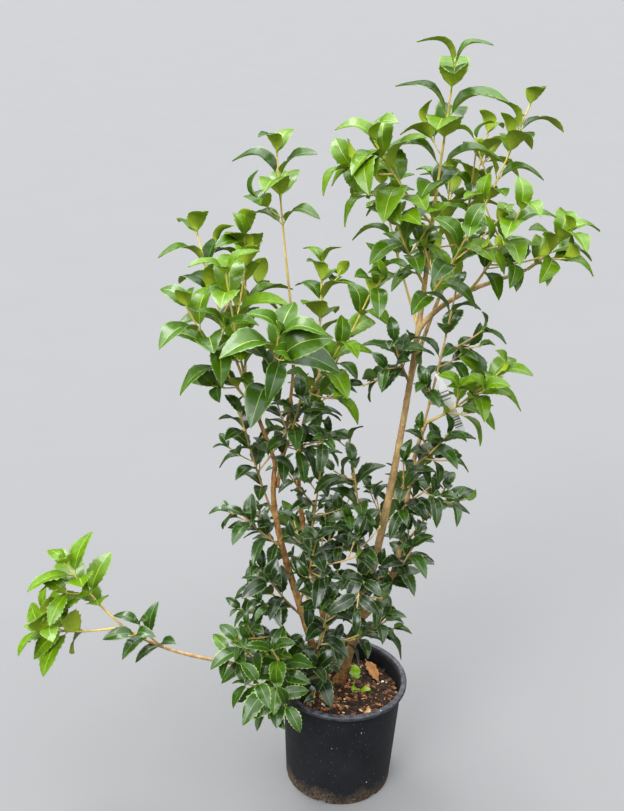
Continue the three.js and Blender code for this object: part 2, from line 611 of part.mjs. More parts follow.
// Opposite pairs of leaves along a stem or twig, each pair a quarter turn from the one below.
function addLeaves(shoot, path, pairs, bare, leaf) {
  const { roll, habit } = shoot;
  const firstTurn = 90 * roll();
  for (let k = 0; k < pairs; k++) {
    const height = k / (pairs - 1);
    const share = bare + (LAST_PAIR - bare) * height ** PAIR_CROWDING;
    const along = path.getTangent(share);
    const [level, across] = squareTo(along);
    const frame = { root: path.getPoint(share), along, level, across };
    const spread = THREE.MathUtils.lerp(...habit.lean, height ** SPREAD_CURVE);
    const size = leaf * (k === pairs - 1 ? TIP_LEAF : FIRST_LEAF + MIDDLE_LEAF * Math.sin(Math.PI * height));
    const pairTurn = firstTurn + 90 * k + PAIR_JITTER * (roll() - 0.5);
    for (const half of [0, 180]) {
      const lean = radians(spread + LEAN_JITTER * (roll() - 0.5));
      addLeaf(shoot, frame, pairTurn + half, lean, size * (1 + SIZE_JITTER * (roll() - 0.5)));
    }
  }
}

makePot();
makeCompost();
LIMBS.forEach(makeLimb);

// All stems come first, then all twigs, and the leaves last, so that none runs through another's.
for (const [limb, rows] of Object.entries(SHOOTS)) {
  Object.entries(rows).forEach(([name, row]) => startShoot(name, limbs.get(limb), row));
}
hangLabel(shoots.find(({ name }) => name === LABEL.on));
SIGHTS.forEach(openSight);
for (const shoot of shoots) {
  for (let i = 0; i < shoot.twigs; i++) {
    const step = (i + 0.5 + TWIG_JITTER * (shoot.roll() - 0.5)) / shoot.twigs;
    addTwig(shoot, shoot.bare + (HIGHEST_TWIG - shoot.bare) * step);
  }
}
for (const shoot of shoots) {
  addLeaves(shoot, shoot.path, shoot.pairs, shoot.bare, shoot.leaf);
  shoot.twigPaths.forEach((path) => addLeaves(shoot, path, TWIG_PAIRS, TWIG_BARE, TWIG_LEAF * shoot.leaf));
  addPiece(shoot.name, mainBody(shoot.solid), shoot.leaf >= YOUNG_LEAF ? 'youngLeaves' : 'oldLeaves');
}

export default plant;
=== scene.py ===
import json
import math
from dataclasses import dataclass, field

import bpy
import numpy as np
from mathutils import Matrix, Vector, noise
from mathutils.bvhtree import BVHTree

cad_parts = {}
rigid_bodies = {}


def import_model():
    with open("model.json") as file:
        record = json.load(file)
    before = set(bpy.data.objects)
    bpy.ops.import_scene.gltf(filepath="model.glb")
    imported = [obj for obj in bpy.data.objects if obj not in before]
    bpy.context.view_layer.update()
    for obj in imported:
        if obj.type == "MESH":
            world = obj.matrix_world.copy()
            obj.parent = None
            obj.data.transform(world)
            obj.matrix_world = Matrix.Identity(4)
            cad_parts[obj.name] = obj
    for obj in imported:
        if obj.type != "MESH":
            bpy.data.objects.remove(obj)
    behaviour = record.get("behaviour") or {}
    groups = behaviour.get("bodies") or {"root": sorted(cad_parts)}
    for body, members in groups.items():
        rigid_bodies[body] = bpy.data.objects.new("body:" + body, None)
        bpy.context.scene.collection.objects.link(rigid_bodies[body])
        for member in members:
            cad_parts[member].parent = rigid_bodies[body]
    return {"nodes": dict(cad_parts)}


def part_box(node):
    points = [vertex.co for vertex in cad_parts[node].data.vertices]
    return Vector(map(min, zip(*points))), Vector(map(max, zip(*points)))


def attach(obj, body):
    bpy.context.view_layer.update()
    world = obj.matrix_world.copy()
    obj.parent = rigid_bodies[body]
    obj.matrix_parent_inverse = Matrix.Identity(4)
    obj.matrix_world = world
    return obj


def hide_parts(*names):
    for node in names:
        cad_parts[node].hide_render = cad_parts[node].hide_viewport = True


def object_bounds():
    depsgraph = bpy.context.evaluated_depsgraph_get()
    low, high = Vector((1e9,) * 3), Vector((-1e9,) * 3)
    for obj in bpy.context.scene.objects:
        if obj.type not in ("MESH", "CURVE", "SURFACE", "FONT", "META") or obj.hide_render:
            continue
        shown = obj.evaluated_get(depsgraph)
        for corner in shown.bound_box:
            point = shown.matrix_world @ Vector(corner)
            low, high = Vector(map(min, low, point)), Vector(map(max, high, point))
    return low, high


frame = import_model()

# A potted holly olive: an evergreen shrub of several leaning stems in a round black nursery pot.
# Metres, +Z up. The origin is the middle of the pot's flat underside, the camera looks along +Y
# and +X is to its right.
#
# The leafy shoots are grown by the same seeded rule as the solids: a stem that starts from its limb,
# side twigs, and leaves in opposite pairs, each pair a quarter turn from the one below. Here the rule
# goes on to finer twigs, young tip leaves and buds, all inside the space of their own shoot.

bl_info = {
    "name": "Potted holly olive",
    "version": (1, 0, 0),
    "blender": (4, 5, 0),
    "location": "View3D > Sidebar > Holly olive",
    "description": "Grows a holly olive with bark, twigs and leaves in its nursery pot",
    "category": "Add Mesh",
}

CAD_BOX = [list(corner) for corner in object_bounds()]

UP = np.array((0.0, 0.0, 1.0))

# How pieces meet, and how far the plant may stand out of the solids' box
CLEAR = 0.0003
REACH_MARGIN = 0.008

# The foot of the limbs that stand in the compost, and the height of its surface
ROOT_FLARE = 0.5
ROOT_FLARE_LENGTH = 0.026
SOIL_TOP = 0.197

# Stems and twigs of the leafy shoots: twigs reach a share of their shoot's length, forward and aside
STEM_RADIUS = 0.0023
STEM_TIP_RADIUS = 0.0013
SAG = 0.1
TWIG_RADIUS = 0.0016
TWIG_REACH = 0.3
TWIG_REACH_RANGE = 0.16
TWIG_FORWARD = 0.7
TWIG_ASIDE = 0.72
TWIG_TRIES = 7
TWIG_PAIRS = 2
TWIG_BARE = 0.35
TWIG_LEAF = 0.92
HIGHEST_TWIG = 0.8
TWIG_JITTER = 0.4

# The space of a shoot, as shares of its leaves' length and of its own
SPACE_LEAVES = 1.05
SPACE_TWIGS = 0.36

# How leaves stand: their sizes as shares of the shoot's own, the pairs along a stem, and the angles in
# degrees that each leaf may turn aside where it would touch something
BLADE_START = 0.2
TIP_LEAF = 0.74
FIRST_LEAF = 0.84
MIDDLE_LEAF = 0.2
SIZE_JITTER = 0.16
LAST_PAIR = 0.985
PAIR_CROWDING = 0.9
SPREAD_CURVE = 1.2
PAIR_JITTER = 24
LEAN_JITTER = 14
TURNS = (0, 12, -12, 24, -24, 36, -36, 48, -48, 60, -60)
TO_LIGHT = 1.2

# Leaves from this length on are young ones
YOUNG_LEAF = 0.070

# Where the chance numbers of the first shoot start, and the step to the next shoot's
SEED = 20
SEED_STEP = 7919

# The habit of young leaves, of old ones, of those on the low runner and of those that hang over the
# pot's rim: how far the lowest and the highest pair lean out, and each blade's width, arch, droop,
# fold and spines
YOUNG_HABIT = dict(lean=(72, 50), width=0.5, arch=0.21, droop=0.12, fold=26, spine=0.02)
OLD_HABIT = dict(lean=(68, 46), width=0.42, arch=0.15, droop=0.16, fold=28, spine=0.034)
LOW_HABIT = dict(lean=(74, 62), width=0.5, arch=0.12, droop=0.06, fold=14, spine=0.05)
RIM_HABIT = dict(lean=(74, 62), width=0.44, arch=0.13, droop=0.08, fold=22, spine=0.045)

# How far a leaf may differ from the habit and the tone of its shoot
ARCH_LEAST = 0.75
ARCH_RANGE = 0.5
FOLD_JITTER = 14
TWIST_JITTER = 40
WAVE_LEAST = 0.006
WAVE_RANGE = 0.012
WIDTH_JITTER = 0.06
TONE_JITTER = 0.34
TONE_RISE = 0.16
TONE_MIDDLE = 0.6
CURL_LEAST = 0.25
CURL_RANGE = 0.3

# Stretches of trunk that the camera sees: leaves and twigs keep out of the way to them. Each is given
# by its limb, the shares of it between which it lies, and how far in front of it stays free.
SIGHTS = (
    ("right_trunk", 0.3, 0.7, 0.15),
    ("right_trunk", 0.02, 0.12, 0.11),
    ("left_trunk", 0.2, 0.92, 0.12),
)
SIGHT_AIM = (-94, 25)
SIGHT_STEP = 0.022
SIGHT_RINGS = 8
LABEL_SIGHT = 0.11

# The finer twigs, which only grow here: how many for each metre of young or old stem, the shares of it
# between which they start, their reach, and for each pair of their leaves its place, lean and size
FINE_SEED = 5
FINE_YOUNG = 4
FINE_OLD = 12
FINE_LOWEST = 0.3
FINE_HIGHEST = 0.92
FINE_REACH = 0.034
FINE_REACH_RANGE = 0.03
FINE_RADIUS = 0.0011
FINE_PAIRS = ((0.55, 60, 1), (1.0, 34, 0.7))
FINE_LEAF = 0.8
FINE_LEAF_LEAST = 0.85
FINE_LEAF_RANGE = 0.3

# The small new leaves at each tip
NEW_LEAF = 0.3
NEW_LEAF_LEAST = 0.8
NEW_LEAF_RANGE = 0.5
NEW_SPREAD = 18


@dataclass
class Limb:
    """A bare trunk or bough: its thick and thin radius, and the four points that it passes."""

    name: str
    parent: str
    radius: tuple
    through: list


LIMBS = [
    Limb("right_trunk", None, (0.0090, 0.0032),
         [(-0.006, 0.024, 0.190), (0.050, 0.012, 0.500), (0.086, 0.004, 0.850), (0.103, 0.010, 1.150)]),
    Limb("left_trunk", None, (0.0080, 0.0040),
         [(-0.036, 0.004, 0.190), (-0.084, -0.012, 0.385), (-0.129, -0.027, 0.560), (-0.136, -0.034, 0.700)]),
    Limb("back_stem", None, (0.0065, 0.0028),
         [(-0.013, 0.056, 0.190), (-0.066, 0.070, 0.420), (-0.098, 0.066, 0.620), (-0.070, 0.045, 0.824)]),
    Limb("right_second_stem", "right_trunk", (0.0054, 0.0032),
         [(0.024, 0.018, 0.340), (0.082, -0.024, 0.495), (0.093, -0.042, 0.650), (0.113, -0.050, 0.795)]),
    Limb("right_outer_bough", "right_trunk", (0.0046, 0.0026),
         [(0.093, 0.004, 0.940), (0.141, -0.010, 0.999), (0.197, -0.026, 1.036), (0.253, -0.040, 1.066)]),
    Limb("right_back_bough", "right_trunk", (0.0038, 0.0024),
         [(0.086, 0.004, 0.850), (0.108, 0.030, 0.925), (0.128, 0.046, 0.985), (0.150, 0.055, 1.044)]),
    Limb("left_outer_bough", "left_trunk", (0.0038, 0.0028),
         [(-0.136, -0.034, 0.695), (-0.154, -0.038, 0.750), (-0.173, -0.04, 0.802), (-0.19, -0.04, 0.85)]),
    Limb("left_inner_bough", "left_trunk", (0.0033, 0.0023),
         [(-0.133, -0.030, 0.650), (-0.122, -0.010, 0.745), (-0.113, 0.010, 0.840), (-0.117, 0.030, 0.944)]),
    Limb("low_runner", None, (0.0042, 0.0023),
         [(-0.058, -0.018, 0.19), (-0.15, -0.038, 0.264), (-0.286, -0.057, 0.306), (-0.413, -0.070, 0.383)]),
]

# Leafy shoots by limb: name, the share of the limb where it starts, its aim (the heading round the
# plant and the rise above level, in degrees), its length, how many pairs of leaves it bears, the share
# of it that is bare, the length of its leaves, its number of side twigs, and the tone of its leaves,
# from 0, old and dark, to 1, new and bright.
SHOOTS = {
    "right_trunk": [
        ("leader_top", 1, (-35, 86), 0.220, 6, 0.12, 0.100, 0, 0.58),
        ("high_left_fan", 0.96, (-150, 50), 0.180, 5, 0.35, 0.094, 2, 0.9),
        ("thin_left_shoot", 0.76, (120, 57), 0.275, 6, 0.5, 0.072, 0, 0.7),
        ("crown_left_shoot", 0.84, (-135, 57), 0.165, 5, 0.2, 0.072, 1, 0.72),
        ("crown_front_shoot", 0.8, (-70, 50), 0.220, 5, 0.2, 0.076, 2, 0.62),
        ("crown_back_shoot", 0.86, (75, 23), 0.215, 5, 0.25, 0.078, 2, 0.62),
        ("trunk_left_leaves", 0.66, (-125, 57), 0.110, 4, 0.15, 0.066, 1, 0.4),
        ("right_foot_shoot", 0.12, (-30, 54), 0.105, 4, 0.2, 0.064, 1, 0.25),
        ("middle_back_shoot", 0.34, (75, 19), 0.175, 5, 0.2, 0.066, 3, 0.2),
        ("middle_up_shoot", 0.28, (-125, 73), 0.285, 4, 0.5, 0.066, 1, 0.35),
        ("middle_front_shoot", 0.2, (-100, 61), 0.280, 5, 0.2, 0.064, 2, 0.1),
    ],
    "left_trunk": [
        ("middle_dense_shoot", 0.36, (-75, 63), 0.220, 5, 0.15, 0.064, 2, 0.05),
        ("rosette_front", 0.14, (-80, 61), 0.235, 5, 0.2, 0.064, 2, 0.15),
        ("left_side_spray", 0.7, (-140, 71), 0.255, 5, 0.4, 0.062, 1, 0.3),
        ("left_waist_shoot", 0.6, (-150, 47), 0.110, 5, 0.15, 0.060, 2, 0.3),
        ("foot_left_shoot", 0.3, (-145, 56), 0.165, 4, 0.25, 0.062, 1, 0.2),
        ("foot_lower_left", 0.12, (-155, 55), 0.200, 4, 0.4, 0.064, 1, 0.3),
        ("soil_rosette", 0.04, (-100, 48), 0.125, 4, 0.2, 0.066, 0, 0.15),
    ],
    "back_stem": [
        ("middle_core_shoot", 0.3, (-60, 69), 0.195, 5, 0.15, 0.064, 2, 0.1),
        ("centre_thin_shoot", 0.4, (-75, 73), 0.245, 4, 0.3, 0.056, 1, 0.3),
        ("centre_right_shoot", 1, (90, 60), 0.205, 6, 0.2, 0.076, 0, 0.72),
        ("centre_reach_shoot", 0.9, (-15, 67), 0.300, 5, 0.4, 0.076, 0, 0.66),
        ("left_heart_back", 0.72, (75, 34), 0.150, 5, 0.2, 0.068, 2, 0.3),
        ("back_low_shoot", 0.35, (110, 9), 0.135, 5, 0.2, 0.066, 2, 0.15),
    ],
    "right_second_stem": [
        ("low_bright_shoot", 1, (-30, 46), 0.170, 6, 0.25, 0.072, 2, 0.9),
        ("inner_top_shoot", 0.92, (-5, 82), 0.275, 6, 0.3, 0.066, 1, 0.6),
        ("mid_right_shoot", 0.8, (-45, 52), 0.110, 5, 0.15, 0.060, 1, 0.45),
        ("mid_front_shoot", 0.55, (-105, 69), 0.155, 5, 0.15, 0.064, 1, 0.3),
        ("right_side_shoot", 0.42, (-25, 63), 0.160, 3, 0.5, 0.062, 0, 0.4),
        ("right_low_shoot", 0.25, (-65, 58), 0.135, 5, 0.15, 0.062, 2, 0.3),
    ],
    "right_outer_bough": [
        ("outer_tip", 1, (-20, 51), 0.085, 4, 0.15, 0.084, 1, 0.85),
        ("outer_front_shoot", 0.5, (-55, 59), 0.180, 5, 0.3, 0.080, 2, 0.72),
    ],
    "right_back_bough": [
        ("high_right_shoot", 1, (35, 62), 0.280, 6, 0.25, 0.080, 1, 0.55),
        ("high_back_shoot", 0.8, (65, 55), 0.270, 5, 0.3, 0.076, 1, 0.55),
    ],
    "left_outer_bough": [
        ("left_top_shoot", 0.8, (135, 61), 0.290, 5, 0.25, 0.098, 1, 0.5),
        ("left_middle_top", 1, (95, 59), 0.250, 6, 0.2, 0.090, 1, 0.68),
        ("left_front_fan", 0.55, (-75, 57), 0.240, 4, 0.52, 0.106, 0, 0.5),
        ("left_outer_spray", 0.68, (-160, 59), 0.220, 5, 0.25, 0.094, 1, 0.62),
        ("left_upper_spray", 0.9, (-125, 75), 0.225, 5, 0.25, 0.096, 1, 0.85),
    ],
    "left_inner_bough": [
        ("tall_left_leader", 1, (165, 83), 0.275, 4, 0.62, 0.090, 0, 0.55),
        ("centre_low_shoot", 0.45, (-35, 57), 0.180, 5, 0.25, 0.080, 1, 0.7),
        ("left_heart_front", 0.15, (-70, 61), 0.185, 5, 0.15, 0.066, 1, 0.35),
    ],
    "low_runner": [
        ("rim_left_spray", 0.3, (-150, 53), 0.110, 5, 0.15, 0.076, 2, 0.4),
        ("rim_front_spray", 0.12, (-120, 55), 0.170, 5, 0.2, 0.072, 2, 0.35),
        ("rim_hanging_spray", 0.08, (-120, 36), 0.200, 4, 0.3, 0.074, 2, 0.25),
        ("runner_leaves", 0.78, (-150, 55), 0.080, 3, 0.1, 0.066, 0, 0.5),
        ("runner_upper_tip", 1, (175, 52), 0.145, 5, 0.35, 0.088, 1, 1),
        ("runner_lower_tip", 0.97, (-170, 2), 0.145, 4, 0.5, 0.086, 1, 0.95),
    ],
}

# The blank label and the shoot that it hangs on
LABEL_SHOOT = "inner_top_shoot"
LABEL_AT = 0.5
LABEL_LENGTH = 0.112
LABEL_WIDTH = 0.014
LABEL_THICKNESS = 0.001
LABEL_NECK = 0.005
LABEL_COLLAR = 0.0042
LABEL_LEAN = 26
LABEL_CORNER = 0.003
LABEL_BOW = 0.004


# Lines and directions

def dice(seed):
    """A run of numbers from 0 to 1 that follows from the seed."""
    state = seed

    def roll():
        nonlocal state
        state = (state * 1664525 + 1013904223) % 2**32
        return state / 2**32

    return roll


def swing(size, roll):
    """A chance step to either side, of half a size at most."""
    return size * (roll() - 0.5)


def lerp(first, last, share):
    return first + (last - first) * share


def unit(vectors):
    return vectors / np.linalg.norm(vectors, axis=-1, keepdims=True)


def pointing(turn, rise):
    """The unit vector with a heading round +Z and a rise above level, both in degrees."""
    heading, lift = math.radians(turn), math.radians(rise)
    return np.array((math.cos(lift) * math.cos(heading), math.cos(lift) * math.sin(heading), math.sin(lift)))


def square_to(along):
    """Two directions square to one that is given, the first of them level."""
    level = np.array((-along[1], along[0], 0.0))
    level = unit(level) if level @ level > 1e-6 else np.array((1.0, 0.0, 0.0))
    return level, np.cross(along, level)


def aside_at(angle, level, across):
    """The direction at an angle between two that are square to each other."""
    return math.cos(angle) * level + math.sin(angle) * across


def round_angles(sides):
    return np.linspace(0, 2 * math.pi, sides, endpoint=False)


def ring_faces(rings, sides, first=0):
    """The faces between rings of points that follow each other, from the first point on."""
    return [(first + i * sides + j, first + i * sides + (j + 1) % sides,
             first + (i + 1) * sides + (j + 1) % sides, first + (i + 1) * sides + j)
            for i in range(rings - 1) for j in range(sides)]


class Curve:
    """A Bezier curve of any degree, read at one share of its way or at an array of shares."""

    def __init__(self, *controls):
        self.controls = np.array(controls, float)

    def point(self, share):
        share = np.asarray(share, float)[..., None]
        points = list(self.controls)
        while len(points) > 1:
            points = [lerp(a, b, share) for a, b in zip(points, points[1:])]
        return points[0]

    def along(self, share):
        return unit(Curve(*np.diff(self.controls, axis=0)).point(share))

    def length(self):
        return float(np.linalg.norm(np.diff(self.point(np.linspace(0, 1, 65)), axis=0), axis=1).sum())


def curve_through(start, third, two_thirds, end):
    """The curve that passes four points at equal steps."""
    start, third, two_thirds, end = (np.array(point) for point in (start, third, two_thirds, end))
    first = (-5 * start + 18 * third - 9 * two_thirds + 2 * end) / 6
    second = (2 * start - 9 * third + 18 * two_thirds - 5 * end) / 6
    return Curve(start, first, second, end)


def bowed(start, end):
    """The path of a shoot or twig: it sags below the straight line, so that its tip turns up."""
    middle = (start + end) / 2 - SAG * np.linalg.norm(end - start) * UP
    return Curve(start, middle, end)


# What is in place, so that nothing runs through another thing

class Crowd:
    """The outlines of all that is in place, with the shoot that each belongs to."""

    def __init__(self, room=6000):
        self.low = np.empty((room, 3))
        self.high = np.empty((room, 3))
        self.things = []

    def add(self, whole, blade, owner):
        """whole and blade are each the points and faces of a rough mesh. A leaf's blade leaves out
        its stalk, which may touch what it grows from."""
        self.low[len(self.things)] = whole[0].min(axis=0)
        self.high[len(self.things)] = whole[0].max(axis=0)
        self.things.append((tree_of(*whole), tree_of(*blade), owner))

    def touches(self, whole, blade, owner):
        """Whether a thing meets another shoot's, or its blade meets something of its own shoot."""
        count = len(self.things)
        below = self.low[:count] <= whole[0].max(axis=0)
        above = self.high[:count] >= whole[0].min(axis=0)
        mine = None
        mine_blade = None
        for index in np.flatnonzero((below & above).all(axis=1)):
            their_whole, their_blade, their_owner = self.things[index]
            if their_owner != owner:
                mine = mine or tree_of(*whole)
                if mine.overlap(their_whole):
                    return True
            elif blade is not None:
                mine_blade = mine_blade or tree_of(*blade)
                if mine_blade.overlap(their_blade):
                    return True
        return False


def tree_of(points, faces):
    return BVHTree.FromPolygons([Vector(point) for point in points], faces)


def node_mesh(name):
    """A solid's own points and faces."""
    mesh = frame["nodes"][name].data
    points = np.array([vertex.co for vertex in mesh.vertices])
    return points, [tuple(face.vertices) for face in mesh.polygons]


def rod_mesh(path, radius_at, shares=(0, 1 / 3, 2 / 3, 1), sides=4):
    """A rough tube along a path, with a ring of points at each share of it."""
    points = []
    for share in shares:
        level, across = square_to(path.along(share))
        for angle in round_angles(sides):
            points.append(path.point(share) + aside_at(angle, level, across) * radius_at(share))
    return np.array(points), ring_faces(len(shares), sides)


# Leaves

@dataclass
class Leaf:
    """One leaf: where its stalk starts, the way that it points and faces, and how its blade is bent."""

    root: np.ndarray
    out: np.ndarray
    up: np.ndarray
    length: float
    tone: float
    width: float = 0.42
    arch: float = 0.13
    droop: float = 0.1
    fold: float = 24
    twist: float = 0
    wave: float = 0.012
    phase: float = 0
    curl: float = 0.35
    teeth: int = 8
    spine: float = 0.05


# The stalk: the share of a leaf's length that it takes, where it starts, and how far it runs on under
# the blade. Then how a blade is shaped, bent and toothed.
STALK = 0.1
STALK_START = -0.01
STALK_LAP = 0.05
STALK_RADIUS = 0.0009
STALK_TAPER = (1.15, 0.75)
STALK_ROWS = 5
STALK_SIDES = 6
BLADE_THICKNESS = 0.0006
BLADE_TIP = 0.0003
RIB_DEPTH = 0.0011
ROUND_START = 0.62
SHARP_END = 0.86
FOLD_EASE = 0.45
WAVES = 11
WAVE_SKEW = 2.2
VEIN_SWEEP = 0.085
PUCKER = 0.015
TOOTH_HOOK = 0.45
TOOTH_LIFT = 0.14
TOOTH_WAVES = 7


def outline(share):
    """The half width of a blade along it, as a share of its greatest: pointed at the tip, and rounder
    where it starts."""
    def breadth(way):
        return way**ROUND_START * (1 - way)**SHARP_END

    return breadth(np.clip(share, 0, 1)) / breadth(ROUND_START / (ROUND_START + SHARP_END))


def leaf_spine(leaf, share):
    """The line along the middle of a leaf, from its root on the stem to its tip."""
    share = np.asarray(share, float)[..., None]
    rise = leaf.arch * np.sin(math.pi * share) * leaf.length
    sunk = UP * leaf.droop * share**2 * leaf.length
    return leaf.root + leaf.out * share * leaf.length + leaf.up * rise - sunk


def leaf_frame(leaf, share):
    """The directions along, across and square to a blade."""
    bend = leaf.arch * math.pi * np.cos(math.pi * share)[..., None]
    along = unit(leaf.out + leaf.up * bend - UP * 2 * leaf.droop * share[..., None])
    side = np.cross(leaf.out, leaf.up)
    side = unit(side - along * (along @ side)[..., None])
    normal = np.cross(side, along)
    turn = (math.radians(leaf.twist) * share)[..., None]
    cos, sin = np.cos(turn), np.sin(turn)
    return along, side * cos + normal * sin, normal * cos - side * sin


def leaf_surface(leaf, way, across, lift=0):
    """Points of a blade at shares along it and across it, lifted off it by a height."""
    share = STALK + (1 - STALK) * way
    _, side, normal = leaf_frame(leaf, share)
    half = outline(way) * leaf.width * leaf.length / 2
    half = np.maximum(half, lerp(STALK_RADIUS, BLADE_TIP, way))
    fold = math.radians(leaf.fold) * (1 - FOLD_EASE * way)
    reach = half * across
    height = np.abs(reach) * np.sin(fold) * (1 - leaf.curl * np.abs(across))
    ripple = np.abs(across)**3 * np.sin(WAVES * way + WAVE_SKEW * across + leaf.phase)
    height = height + leaf.wave * leaf.length * ripple * outline(way)
    return (leaf_spine(leaf, share) + side * (reach * np.cos(fold))[..., None]
            + normal * (height + lift)[..., None])


def leaf_rough(leaf, start=0.0, rows=5):
    """A rough mesh of a leaf from a share of its length on."""
    first = max(0.0, (start - STALK) / (1 - STALK))
    way, across = np.meshgrid(np.linspace(first, 1, rows), (-1.0, 0.0, 1.0), indexing="ij")
    points = leaf_surface(leaf, way, across).reshape(-1, 3)
    faces = [(3 * i + j, 3 * i + j + 1, 3 * i + j + 4, 3 * i + j + 3)
             for i in range(rows - 1) for j in range(2)]
    return points, faces


# The growth of the plant

@dataclass
class Shoot:
    """One leafy shoot and what has grown on it. It draws its growth from roll, the bends and tones of
    its leaves from looks, and its finer twigs from fine."""

    name: str
    limb: str
    at: float
    aim: tuple
    length: float
    pairs: int
    bare: float
    leaf: float
    twigs: int
    tone: float
    path: Curve = None
    radius_at: object = None
    room: float = 0
    roll: object = None
    looks: object = None
    fine: object = None
    stems: list = field(default_factory=list)
    leaves: list = field(default_factory=list)

    @property
    def young(self):
        return self.leaf >= YOUNG_LEAF

    @property
    def habit(self):
        if not self.young:
            return OLD_HABIT
        if self.limb == "low_runner":
            return RIM_HABIT if self.name.startswith("rim") else LOW_HABIT
        return YOUNG_HABIT


@dataclass
class Stem:
    """A stem or twig: its path, its radius along it, and the shares of it that bear leaves."""

    path: Curve
    radius_at: object
    nodes: list
    tone: float


def limb_radius(limb, curve):
    """A limb's radius along it, with the flare at the foot of one that stands in the compost."""
    length = curve.length()
    flare = 0 if limb.parent else ROOT_FLARE
    thick, thin = limb.radius
    return lambda share: lerp(thick, thin, share) * (1 + flare * np.exp(-share * length / ROOT_FLARE_LENGTH))


def within_reach(points):
    """Whether points stay inside the solids' own box, but for a small margin."""
    low, high = np.array(CAD_BOX[0]) - REACH_MARGIN, np.array(CAD_BOX[1]) + REACH_MARGIN
    return bool((points > low).all() and (points < high).all())


